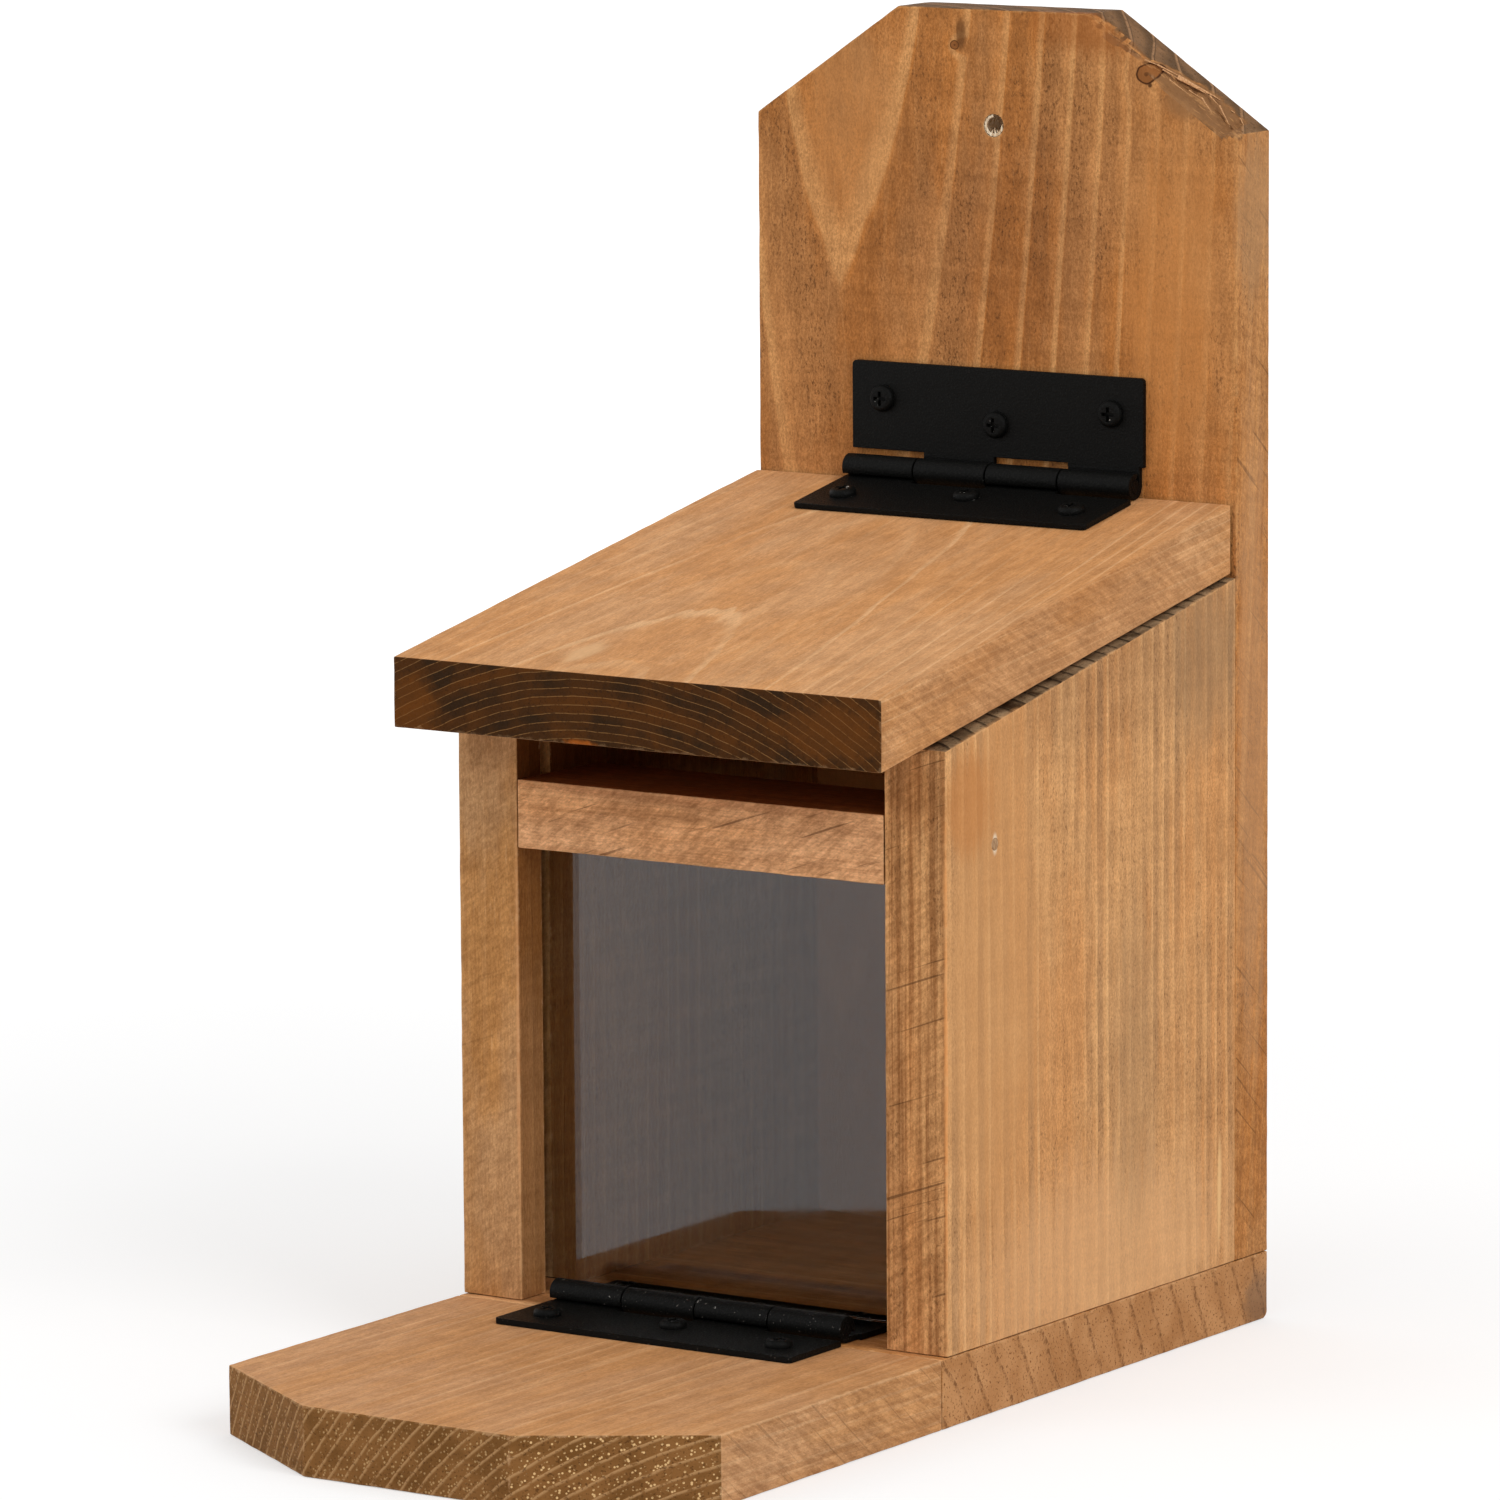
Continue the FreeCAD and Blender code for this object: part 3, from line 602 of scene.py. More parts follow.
        return tone, recipe.node("TexWhiteNoise", {"W": count}, noise_dimensions="1D").outputs[0]

    def face_colour(self, spot: Spot) -> tuple[Socket, Socket]:
        """Colours the long grain.

        Args:
            spot: What is known about the place.

        Returns:
            The colour and the fibres' height.
        """
        recipe, grain = spot.recipe, spot.grain
        # Broad areas of two browns
        area = recipe.step(recipe.noise(grain, (0.045, 0.045, 0.014), 4.0, 0.62), 0.4, 0.6)
        base = recipe.mix(area, self.tan, self.amber)
        # Growth rings, each with its own strength
        drift = recipe.noise(grain, (0.06, 0.06, 0.012))
        fade = recipe.step(drift, 0.32, 0.6, max(0.2, self.ring_even), 1.0)
        strength = recipe.maths("MULTIPLY_ADD", spot.own, 1 - self.ring_even, self.ring_even)
        strength = recipe.times(strength, fade, self.ring_share)
        if self.calm:
            start, end, least = self.calm
            strength = recipe.times(strength, recipe.step(recipe.parts(grain)["X"], start, end, 1.0, least))
        light = recipe.times(recipe.step(spot.ring, self.ring_line, 1.0), strength)
        band = recipe.step(spot.ring, self.ring_line, self.ring_line * 0.5)
        colour = recipe.mix(recipe.times(band, strength, self.ring_deep), base, self.dark)
        colour = recipe.mix(light, colour, self.pale)
        # Long streaks
        streak = recipe.noise(grain, (0.7, 0.7, 0.014), 3.0, 0.6)
        thin = recipe.times(recipe.step(streak, 0.5, 0.32), self.streak_share)
        colour = recipe.mix(thin, colour, self.dark)
        bright = recipe.times(recipe.step(streak, 0.55, 0.7), self.streak_share)
        colour = recipe.mix(bright, colour, self.pale)
        # Brown flecks, most of them in the early wood, and glinting fibres
        where = recipe.step(recipe.noise(grain, (0.08, 0.08, 0.035), 3.0, 0.6), 0.4, 0.58, 0.15, 1.0)
        where = recipe.times(where, recipe.maths("MULTIPLY_ADD", band, 0.6, 0.4))
        flecks = recipe.step(recipe.noise(grain, (1.6, 1.6, 0.8), 2.0, 0.7), 0.54, 0.66)
        colour = recipe.mix(recipe.times(flecks, where, self.fleck_share), colour, self.fleck)
        glint = recipe.step(recipe.noise(grain, (1.5, 1.5, 0.12), 2.0, 0.6), 0.63, 0.72)
        colour = recipe.mix(recipe.times(glint, self.glint_share), colour, self.pale)
        # Shades from broad to fine
        fibre = recipe.noise(grain, (2.4, 2.4, 0.4), 3.0, 0.65)
        shades = (
            (recipe.noise(grain, (0.3, 0.3, 0.07), 4.0, 0.7), self.cloud),
            (recipe.noise(grain, (0.03, 0.03, 0.3), 3.0, 0.6), self.planed),
            (recipe.noise(grain, (2.1, 2.1, 1.4), 3.0, 0.75), self.grit),
            (fibre, self.hair),
        )
        for level, share in shades:
            shade = recipe.mix(recipe.step(level, 0.32, 0.68), SHADE_DARK, SHADE_LIGHT)
            colour = recipe.mix(share, colour, shade, "MULTIPLY")
        return colour, fibre

    def end_colour(self, spot: Spot) -> Socket:
        """Colours the end grain, which drinks more stain.

        Args:
            spot: What is known about the place.

        Returns:
            The colour.
        """
        recipe, grain, ring = spot.recipe, spot.grain, spot.ring
        area = recipe.step(recipe.noise(grain, (0.1, 0.1, 0.05), 3.0, 0.6), 0.38, 0.62)
        area = recipe.maths("MULTIPLY_ADD", spot.own, self.end_rings, recipe.times(area, 1 - self.end_rings))
        colour = recipe.mix(area, self.end_dark, self.end_main)
        if self.end_band:
            band = recipe.times(recipe.step(ring, 0.22, 0.5), recipe.step(ring, 0.98, 0.8), self.end_band)
            colour = recipe.mix(band, colour, self.end_dark)
        broken = recipe.noise(grain, (0.8, 0.8, 0.4), 3.0, 0.6)
        broken = recipe.step(broken, self.end_broken, self.end_broken + 0.14, 0.2, 1.0)
        line = recipe.times(recipe.step(ring, self.end_line_start, 1.0), broken, self.end_line_share)
        colour = recipe.mix(line, colour, self.end_line)
        pore = recipe.noise(grain, (1.5, 1.5, 0.8), 2.0, 0.6)
        pits = recipe.times(recipe.step(pore, 0.44, 0.32), self.end_pits)
        colour = recipe.mix(pits, colour, recipe.mix(1.0, self.end_dark, PIT_DARK, "MULTIPLY"))
        if not self.end_highlight_share:
            return colour
        # Painted highlights: pale dots where raised fibres of the end grain catch the light, shown only on
        # end faces turned one way
        near = recipe.node("TexVoronoi", {"Vector": grain, "Scale": 1.15, "Randomness": 1.0})
        highlight_dots = recipe.step(near.outputs["Distance"], 0.36, 0.24)
        some = recipe.step(recipe.noise(grain, (0.7, 0.7, 0.7), 1.0), 0.34, 0.5)
        row = recipe.step(ring, 0.42, 0.3)
        turned = recipe.vector("DOT_PRODUCT", spot.normal, self.end_highlight_way)
        way = recipe.step(turned, 0.8, 0.95, 0.35, 1.0)
        return recipe.mix(recipe.times(highlight_dots, some, row, way, self.end_highlight_share), colour, self.end_highlight_colour)

    def saw_marks(self, spot: Spot, colour: Socket) -> Socket:
        """Marks the faces that came straight from the saw with streaks, scratches and slanting fuzz.

        Args:
            spot: What is known about the place.
            colour: The colour before.

        Returns:
            The colour with the saw's marks.
        """
        recipe = spot.recipe
        on = self.facing(spot, self.sawn, 0.8, 0.95)
        streak = recipe.noise(spot.grain, (0.8, 0.8, 0.012), 3.0, 0.6)
        tones = recipe.mix(recipe.step(streak, 0.36, 0.64), STREAK_DARK, STREAK_LIGHT)
        colour = recipe.mix(recipe.times(on, self.streaked), colour, tones, "MULTIPLY")
        scratch = recipe.noise(recipe.turned(spot.place, (0.7, 0.26, 0.0)), (0.03, 0.03, 1.1))
        scratch = recipe.times(recipe.step(scratch, 0.64, 0.7), on, self.scratched)
        colour = recipe.mix(scratch, colour, self.scratch)
        fluff = recipe.noise(recipe.turned(spot.place, (0.5, 0.6, 0.0)), (0.14, 0.14, 0.8), 4.0, 0.72)
        rough = recipe.mix(recipe.step(fluff, 0.36, 0.64), FUZZ_DARK, FUZZ_LIGHT)
        return recipe.mix(recipe.times(on, self.fuzz), colour, rough, "MULTIPLY")

    def patched(self, spot: Spot, ragged: Socket, colour: Socket, patch: Patch) -> Socket:
        """Lays one patch over the colour.

        Args:
            spot: What is known about the place.
            ragged: A noise along the grain that frays its edge.
            colour: The colour before.
            patch: The patch.

        Returns:
            The colour with the patch.
        """
        recipe = spot.recipe
        off = recipe.vector("SUBTRACT", spot.place, patch.middle_mm)
        off = recipe.vector("MULTIPLY", off, tuple(1 / half for half in patch.half_mm))
        if patch.square:
            sides = recipe.parts(recipe.vector("ABSOLUTE", off))
            widest = recipe.maths("MAXIMUM", sides["X"], sides["Y"])
            share = recipe.times(recipe.step(widest, 1.0, 0.996), recipe.step(sides["Z"], 1.0, patch.soft))
        else:
            reach = recipe.plus(recipe.vector("LENGTH", off), recipe.times(ragged, 0.9))
            share = recipe.step(reach, 1.5, 0.85)
        return recipe.mix(recipe.times(share, patch.share), colour, patch.colour, patch.blend)

    def worn(self, spot: Spot, colour: Socket) -> Socket:
        """Wears the stain off the arrises.

        Args:
            spot: What is known about the place.
            colour: The colour before wear.

        Returns:
            The colour with wear.
        """
        recipe = spot.recipe
        near = recipe.attribute("arris")
        rub = recipe.noise(spot.place, (0.35, 0.35, 0.35), 4.0, 0.7)
        level = recipe.plus(recipe.times(near, 0.55), rub)
        share = recipe.times(recipe.step(level, 0.92, 1.12), self.wear_share)
        return recipe.mix(share, colour, self.pale)


@dataclass(frozen=True)
class BareWood:
    """Unstained wood, as inside a drilled hole."""

    main: Colour = hue(234, 214, 182)
    shade: Colour = hue(178, 138, 96)

    def material(self, name: str) -> bpy.types.Material:
        """Makes the material.

        Args:
            name: The material's name.

        Returns:
            The material.
        """
        recipe = Recipe.named(name)
        fibre = recipe.noise(recipe.millimetres(), (3.0, 3.0, 0.5), 3.0, 0.6)
        colour = recipe.mix(recipe.step(fibre, 0.35, 0.65), self.shade, self.main)
        return recipe.surface(colour, recipe.step(fibre, 0.3, 0.7, 0.9, 0.75), fibre, 0.6, 0.0003)


@dataclass(frozen=True)
class PowderCoat:
    """Satin black powder coat with a sandy grain, and pale specks along its edges."""

    black: Colour = hue(10, 10, 9)
    sandy: Colour = hue(22, 22, 20)
    dust: Colour = hue(96, 90, 84)
    bright: Colour = hue(196, 192, 184)
    dust_share: float = 0.0

    def material(self, name: str) -> bpy.types.Material:
        """Makes the material.

        Args:
            name: The material's name.

        Returns:
            The material.
        """
        recipe = Recipe.named(name)
        place = recipe.millimetres()
        sand = recipe.noise(place, (2.6, 2.6, 2.6), 2.0, 0.6)
        colour = recipe.mix(recipe.step(sand, 0.5, 0.72), self.black, self.sandy)
        speck = recipe.noise(place, (1.7, 1.7, 1.7), 1.0)
        colour = recipe.mix(recipe.times(recipe.step(speck, 0.73, 0.77), self.dust_share), colour, self.dust)
        rub = recipe.noise(place, (0.6, 0.6, 0.6), 3.0, 0.7)
        level = recipe.maths("MULTIPLY_ADD", recipe.attribute("arris"), 0.5, rub)
        colour = recipe.mix(recipe.step(level, 1.06, 1.16), colour, self.bright)
        rough = recipe.step(sand, 0.35, 0.65, 0.52, 0.36)
        return recipe.surface(colour, rough, sand, 1.0, 0.00016, {"Specular IOR Level": 0.07})


@dataclass(frozen=True)
class ClearSheet:
    """Clear polished acrylic with faint wiping marks."""

    tint: Colour = hue(238, 240, 240)
    bend: float = 1.49

    def material(self, name: str) -> bpy.types.Material:
        """Makes the material.

        Args:
            name: The material's name.

        Returns:
            The material.
        """
        recipe = Recipe.named(name)
        wipe = recipe.noise(recipe.millimetres(), (0.1, 0.1, 0.003), 1.0, 0.4)
        rough = recipe.step(wipe, 0.35, 0.65, 0.02, 0.05)
        clear = {"IOR": self.bend, "Transmission Weight": 1.0}
        return recipe.surface(self.tint, rough, wipe, 0.01, 0.0001, clear)


@dataclass(frozen=True)
class NailSteel:
    """Dull bright steel, drawn and cut."""

    steel: Colour = hue(150, 148, 142)
    rust: Colour = hue(112, 84, 60)

    def material(self, name: str) -> bpy.types.Material:
        """Makes the material.

        Args:
            name: The material's name.

        Returns:
            The material.
        """
        recipe = Recipe.named(name)
        stain = recipe.noise(recipe.millimetres(), (1.1, 1.1, 1.1), 3.0, 0.6)
        colour = recipe.mix(recipe.step(stain, 0.52, 0.7), self.steel, self.rust)
        rough = recipe.step(stain, 0.3, 0.7, 0.32, 0.6)
        return recipe.surface(colour, rough, stain, 0.4, 0.0001, {"Metallic": 1.0})


# Bench work

# How near doubled corners and a cutting plane's own corners lie, and the bend that counts as flat
DOUBLE_REACH = 0.000005
PLANE_REACH = 0.00002
FLAT_DEG = 0.5


def deselect_all() -> None:
    """Leaves nothing selected."""
    for thing in bpy.context.view_layer.objects:
        thing.select_set(False)


def pick(piece: bpy.types.Object) -> None:
    """Makes one piece the only one selected, and active.

    Args:
        piece: The piece.
    """
    deselect_all()
    piece.select_set(True)
    bpy.context.view_layer.objects.active = piece


@contextmanager
def edit_mode(piece: bpy.types.Object) -> Iterator[None]:
    """Opens a piece in edit mode and closes it again.

    Args:
        piece: The piece.

    Returns:
        Nothing to the block that it wraps.
    """
    pick(piece)
    bpy.ops.object.mode_set(mode="EDIT")
    yield
    bpy.ops.object.mode_set(mode="OBJECT")


def select_faces(piece: bpy.types.Object, test: Callable[[Vector, Vector], bool]) -> None:
    """Selects faces by place and normal, in object mode.

    Args:
        piece: The piece.
        test: Takes a face's centre and normal, and says whether it is wanted.
    """
    mesh = piece.data
    wanted = [test(face.center, face.normal) for face in mesh.polygons]
    mesh.edges.foreach_set("select", [False] * len(mesh.edges))
    mesh.vertices.foreach_set("select", [False] * len(mesh.vertices))
    mesh.polygons.foreach_set("select", wanted)
    for face, chosen in zip(mesh.polygons, wanted):
        for corner in face.vertices if chosen else ():
            mesh.vertices[corner].select = True


def copy_of_node(node: str, name: str) -> bpy.types.Object:
    """Copies a CAD node into a new piece and merges its loose triangles.

    Args:
        node: The CAD node.
        name: The new piece's name.

    Returns:
        The new piece, with no material.
    """
    mesh = frame["nodes"][node].data.copy()
    mesh.materials.clear()
    piece = bpy.data.objects.new(name, mesh)
    bpy.context.scene.collection.objects.link(piece)
    for layer in list(mesh.uv_layers):
        mesh.uv_layers.remove(layer)
    with edit_mode(piece):
        bpy.ops.mesh.select_all(action="SELECT")
        bpy.ops.mesh.remove_doubles(threshold=DOUBLE_REACH)
        bpy.ops.mesh.customdata_custom_splitnormals_clear()
        bpy.ops.mesh.dissolve_limited(angle_limit=math.radians(FLAT_DEG))
    return piece


def cut_across(piece: bpy.types.Object, places: Sequence[Plane], all_of: bool = True) -> None:
    """Cuts a piece's surface along planes.

    Args:
        piece: The piece.
        places: A point and a normal for each plane.
        all_of: Whether the whole piece is cut, or only the faces that are selected.
    """
    with edit_mode(piece):
        bpy.ops.mesh.select_mode(type="FACE")
        for point, direction in places:
            if all_of:
                bpy.ops.mesh.select_all(action="SELECT")
            bpy.ops.mesh.bisect(plane_co=point, plane_no=direction, threshold=PLANE_REACH)


def apply_modifier(piece: bpy.types.Object, kind: str, **settings: object) -> None:
    """Adds a modifier to a piece and applies it.

    Args:
        piece: The piece.
        kind: The modifier's type.
        **settings: Its properties.
    """
    pick(piece)
    modifier = piece.modifiers.new(kind.title(), kind)
    for name, value in settings.items():
        setattr(modifier, name, value)
    bpy.ops.object.modifier_apply(modifier=modifier.name)


def smooth(piece: bpy.types.Object, angle_deg: float, weighted: bool = True) -> None:
    """Shades a piece smooth but for its sharper edges.

    Args:
        piece: The piece.
        angle_deg: The least angle of an edge that stays sharp.
        weighted: Whether large faces keep their own normal, so that only narrow ones look round.
    """
    pick(piece)
    bpy.ops.object.shade_smooth_by_angle(angle=math.radians(angle_deg))
    if weighted:
        apply_modifier(piece, "WEIGHTED_NORMAL", keep_sharp=True)


def arris_points(
    piece: bpy.types.Object, angle_deg: float = 8.0, gap: float = 0.0006, shortest: float = 0.0
) -> KDTree:
    """Collects points along a piece's arrises.

    Args:
        piece: The piece.
        angle_deg: The least angle between two faces at an arris.
        gap: The distance between points.
        shortest: The length under which an edge is left out, as round a hole.

    Returns:
        The points, ready for the nearest to be found.
    """
    mesh = piece.data
    faces: dict[tuple[int, int], list[Vector]] = {}
    for face in mesh.polygons:
        for pair in face.edge_keys:
            faces.setdefault(pair, []).append(face.normal)
    points: list[Vector] = []
    for pair, normals in faces.items():
        start, end = (mesh.vertices[i].co for i in pair)
        if (end - start).length < shortest:
            continue
        if len(normals) != 2 or normals[0].angle(normals[1], 0.0) > math.radians(angle_deg):
            count = max(1, math.ceil((end - start).length / gap))
            points += [start.lerp(end, step / count) for step in range(count + 1)]
    tree = KDTree(len(points))
    for index, point in enumerate(points):
        tree.insert(point, index)
    tree.balance()
    return tree


def mark_arrises(piece: bpy.types.Object, arrises: KDTree, reach: float) -> None:
    """Gives each vertex its nearness to an arris, as an attribute and a vertex group.

    Args:
        piece: The piece.
        arrises: The arrises' points.
        reach: Where the nearness ends.
    """
    nearness = [max(0.0, 1 - arrises.find(v.co)[2] / reach) for v in piece.data.vertices]
    attribute = piece.data.attributes.new("arris", "FLOAT", "POINT")
    attribute.data.foreach_set("value", nearness)
    group = piece.vertex_groups.new(name="arris")
    for index, share in enumerate(nearness):
        group.add([index], share ** 2, "REPLACE")


def settle(piece: bpy.types.Object, body: Body, slot: Slot, *nodes: str) -> bpy.types.Object:
    """Puts a finished piece on its body, in place of the CAD nodes that it stands for.

    Args:
        piece: The piece.
        body: The body that it rides on.
        slot: The record's slot of its finish; not used.
        *nodes: The CAD nodes that it stands for.

    Returns:
        The piece.
    """
    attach(piece, body.value)
    if nodes:
        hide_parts(*nodes)
    LOG.info("%s: %d faces on %s", piece.name, len(piece.data.polygons), body.value)
    return piece


# Sub-assemblies


@dataclass
class Board:
    """A sawn board: its CAD node's shape with worn arrises, dressed in its own cut of wood.

    The surface is cut near each face, at near_mm, and at even steps between that start margin_mm in.
    Lengths without mm in their names are in metres.
    """

    node: str
    body: Body
    wood: StainedWood
    pitch_deg: float = 0.0
    cell_mm: float = 4.0
    near_mm: tuple[float, ...] = (0.4, 1.3)
    margin_mm: float = 3.0
    shortest_arris: float = 0.0025
    arris_reach: float = 0.0024
    wear_mm: float = 0.22
    wear_grain: float = 0.0045
    sharp_deg: float = 32.0
    crops: tuple[tuple[Triple, Triple], ...] = ()
    piece: bpy.types.Object = field(init=False)

    def axes(self) -> list[Vector]:
        """Gives the board's own three directions.

        Returns:
            The directions to the right, to the rear and up.
        """
        tip = math.radians(self.pitch_deg)
        deep = Vector((0.0, math.cos(tip), math.sin(tip)))
        return [Vector((1.0, 0.0, 0.0)), deep, Vector((0.0, -math.sin(tip), math.cos(tip)))]

    def planes(self) -> list[Plane]:
        """Lists the planes that the surface is cut along.

        Returns:
            A point and a normal for each.
        """
        points = np.array([v.co for v in self.piece.data.vertices])
        found = []
        for axis in self.axes():
            reach = points @ np.array(axis)
            low, high = reach.min() / MM, reach.max() / MM
            count = max(1, round((high - low - 2 * self.margin_mm) / self.cell_mm))
            inner = np.linspace(low + self.margin_mm, high - self.margin_mm, count + 1)
            near_low = [low + near for near in self.near_mm]
            near_high = [high - near for near in reversed(self.near_mm)]
            for place in (*near_low, *inner, *near_high):
                found.append((axis * float(place) * MM, axis))
        for point, normal in self.crops:
            direction = Vector(normal).normalized()
            for depth in (*self.near_mm, self.margin_mm):
                found.append(((Vector(point) - direction * depth) * MM, direction))
        return found

    def build(self) -> bpy.types.Object:
        """Shapes and dresses the board.

        Returns:
            The finished piece.
        """
        self.piece = copy_of_node(self.node, self.node + "_wood")
        arrises = arris_points(self.piece, shortest=self.shortest_arris)
        cut_across(self.piece, self.planes())
        mark_arrises(self.piece, arrises, self.arris_reach)
        self.wear()
        self.extra()
        self.piece.data.materials.append(self.wood.material(self.node + "_wood"))
        self.dress()
        smooth(self.piece, self.sharp_deg)
        return settle(self.piece, self.body, Slot.WOOD, self.node)

    def wear(self) -> None:
        """Wears the arrises inwards by an uneven, small depth."""
        rub = bpy.data.textures.new(self.node + "_rub", "CLOUDS")
        rub.noise_scale = self.wear_grain
        rub.noise_depth = 2
        settings = {"texture": rub, "vertex_group": "arris", "strength": -self.wear_mm * MM}
        apply_modifier(self.piece, "DISPLACE", mid_level=0.0, texture_coords="LOCAL", **settings)

    def extra(self) -> None:
        """Leaves room for a board's own damage."""

    def dress(self) -> None:
        """Leaves room for a board's own second finish."""


@dataclass(frozen=True)
class Crop:
    """The slope of the back board's right crop, by the two corners of its front arris."""

    top_mm: Triple = (25.0, BACK_FRONT, 289.2)
    end_mm: Triple = (SIDE_FACE, BACK_FRONT, 264.2)

    def axes(self) -> tuple[Vector, Vector, Vector, Vector]:
        """Measures the slope.

        Returns:
            Its upper front corner, and its directions down the slope, into the wood and to the rear.
        """
        top = Vector(self.top_mm)
        run = (Vector(self.end_mm) - top).normalized()
        return top, run, Vector((run.z, 0.0, -run.x)), Vector((0.0, 1.0, 0.0))

    def length(self) -> float:
        """Gives the slope's length in millimetres."""
        return (Vector(self.end_mm) - Vector(self.top_mm)).length


@dataclass(frozen=True)
class Hole:
    """The hanging hole, by the middle of its front rim."""

    centre_mm: Triple = (0.0, BACK_FRONT, 263.6)
    radius_mm: float = 2.5


@dataclass
class BackBoard(Board):
    """The tall back board, torn along its right crop, with bare wood in its hanging hole.

    tear_mm holds, for places down the slope, how far the tear reaches into the wood and to the rear. As
    deep as finer_mm the surface is cut finer: down the slope from run_mm's first place by its step, into
    the wood at deep_mm, and to the rear at behind_mm.
    """

    crop: Crop = Crop()
    hole: Hole = Hole()
    torn_from_mm: float = 15.0
    finer_mm: float = 11.0
    run_mm: tuple[float, float] = (1.5, 1.0)
    deep_mm: tuple[float, ...] = (0.7, 1.5, 2.4, 3.4, 4.5, 5.8, 7.2, 9.0)
    behind_mm: tuple[float, ...] = (0.9, 1.8, 2.8, 3.8, 4.8, 5.8, 6.8, 7.8, 8.8, 9.8, 11.0)
    tear_mm: tuple[Triple, ...] = (
        (0.5, 0.0, 0.0), (2.0, 1.6, 2.6), (6.0, 2.4, 3.6), (9.0, 2.1, 3.2), (12.7, 1.3, 1.8),
        (15.5, 0.9, 0.8), (17.3, 1.6, 1.4), (20.9, 2.4, 6.6), (25.5, 2.8, 7.6), (29.0, 3.0, 10.4),
        (33.0, 3.0, 11.0), (41.0, 3.0, 9.0), (44.6, 0.8, 2.5),
    )
    hollow: float = 0.55
    chip_fade_mm: float = 4.0

    def extra(self) -> None:
        """Chips the front arris of the right crop and tears off its lower end."""
        top, run, inward, rear = self.crop.axes()
        length = self.crop.length()
        first, step = self.run_mm

        def near_tear(centre: Vector, normal: Vector) -> bool:
            """Tells whether a face is near the torn arris."""
            off = centre / MM - top
            return -3 < off @ run < length + 3 and -1 < off @ inward < self.finer_mm

        finer = [(top + run * place, run) for place in np.arange(first, length, step)]
        finer += [(top + inward * place, inward) for place in self.deep_mm]
        finer += [(top + rear * place, rear) for place in self.behind_mm]
        for point, direction in finer:
            select_faces(self.piece, near_tear)
            cut_across(self.piece, [(point * MM, direction)], all_of=False)
        torn = []
        for vertex in self.piece.data.vertices:
            off = vertex.co / MM - top
            along, deep, behind = off @ run, max(0.0, off @ inward), off @ rear
            shift, share = self.tear(along, deep, behind)
            chip = self.chip_depth(along, deep, length) * max(0.0, 1 - behind / self.chip_fade_mm)
            torn.append(min(1.0, share * 5) * min(1.0, max(0.0, (along - self.torn_from_mm) / 3)))
            vertex.co += (inward * shift[0] + rear * (shift[1] + chip * (1 - torn[-1]))) * MM
        attribute = self.piece.data.attributes.new("torn", "FLOAT", "POINT")
        attribute.data.foreach_set("value", torn)

    def tear(self, along: float, deep: float, behind: float) -> tuple[tuple[float, float], float]:
        """Gives how the tear moves a place near the crop's front arris.

        Args:
            along: The distance down the slope from its top in millimetres.
            deep: The distance in from the slope in millimetres.
            behind: The distance behind the front face in millimetres.

        Returns:
            The moves inwards and to the rear in millimetres, and how far inside the tear the place is.
        """
        places, downs, backs = zip(*self.tear_mm)
        ragged = noise.noise(Vector((along * 0.45, 1.0, 0.0)))
        down = float(np.interp(along, places, downs)) * (1 + 0.15 * ragged)
        back = float(np.interp(along, places, backs)) * (1 + 0.3 * ragged)
        if min(down, back) < 0.2:
            return (0.0, 0.0), 0.0
        share = max(0.0, 1 - max(deep / down, behind / back))
        ridge = 1 + 0.25 * noise.noise(Vector((along * 0.25, deep * 0.5 - behind * 0.5, 4.0)))
        hollow = self.hollow * share ** 0.95 * ridge
        return (down * hollow, back * hollow), share

    def chip_depth(self, along: float, deep: float, length: float) -> float:
        """Gives how far the front arris is chipped back.

        Args:
            along: The distance down the slope from its top in millimetres.
            deep: The distance in from the slope in millimetres.
            length: The slope's length in millimetres.

        Returns:
            The depth in millimetres.
        """
        broad = noise.noise(Vector((along * 0.3, 3.0, 0.0)))
        ragged = broad + 0.5 * noise.noise(Vector((along * 0.8, 7.0, 0.0)))
        ends = min(1.0, max(0.0, along / 2), max(0.0, (length - along) / 2))
        width = 1.3 + 1.0 * ragged
        return max(0.0, 1 - deep / max(0.5, width)) * max(0.0, 0.5 + 1.2 * ragged) * ends

    def dress(self) -> None:
        """Bares the wood in the hanging hole."""
        self.piece.data.materials.append(BareWood().material("bare_wood"))
        centre = Vector(self.hole.centre_mm) * MM
        reach = (self.hole.radius_mm + 0.3) * MM
        for face in self.piece.data.polygons:
            off = face.center - centre
            if math.hypot(off.x, off.z) < reach and abs(face.normal.y) < 0.8:
                face.material_index = 1


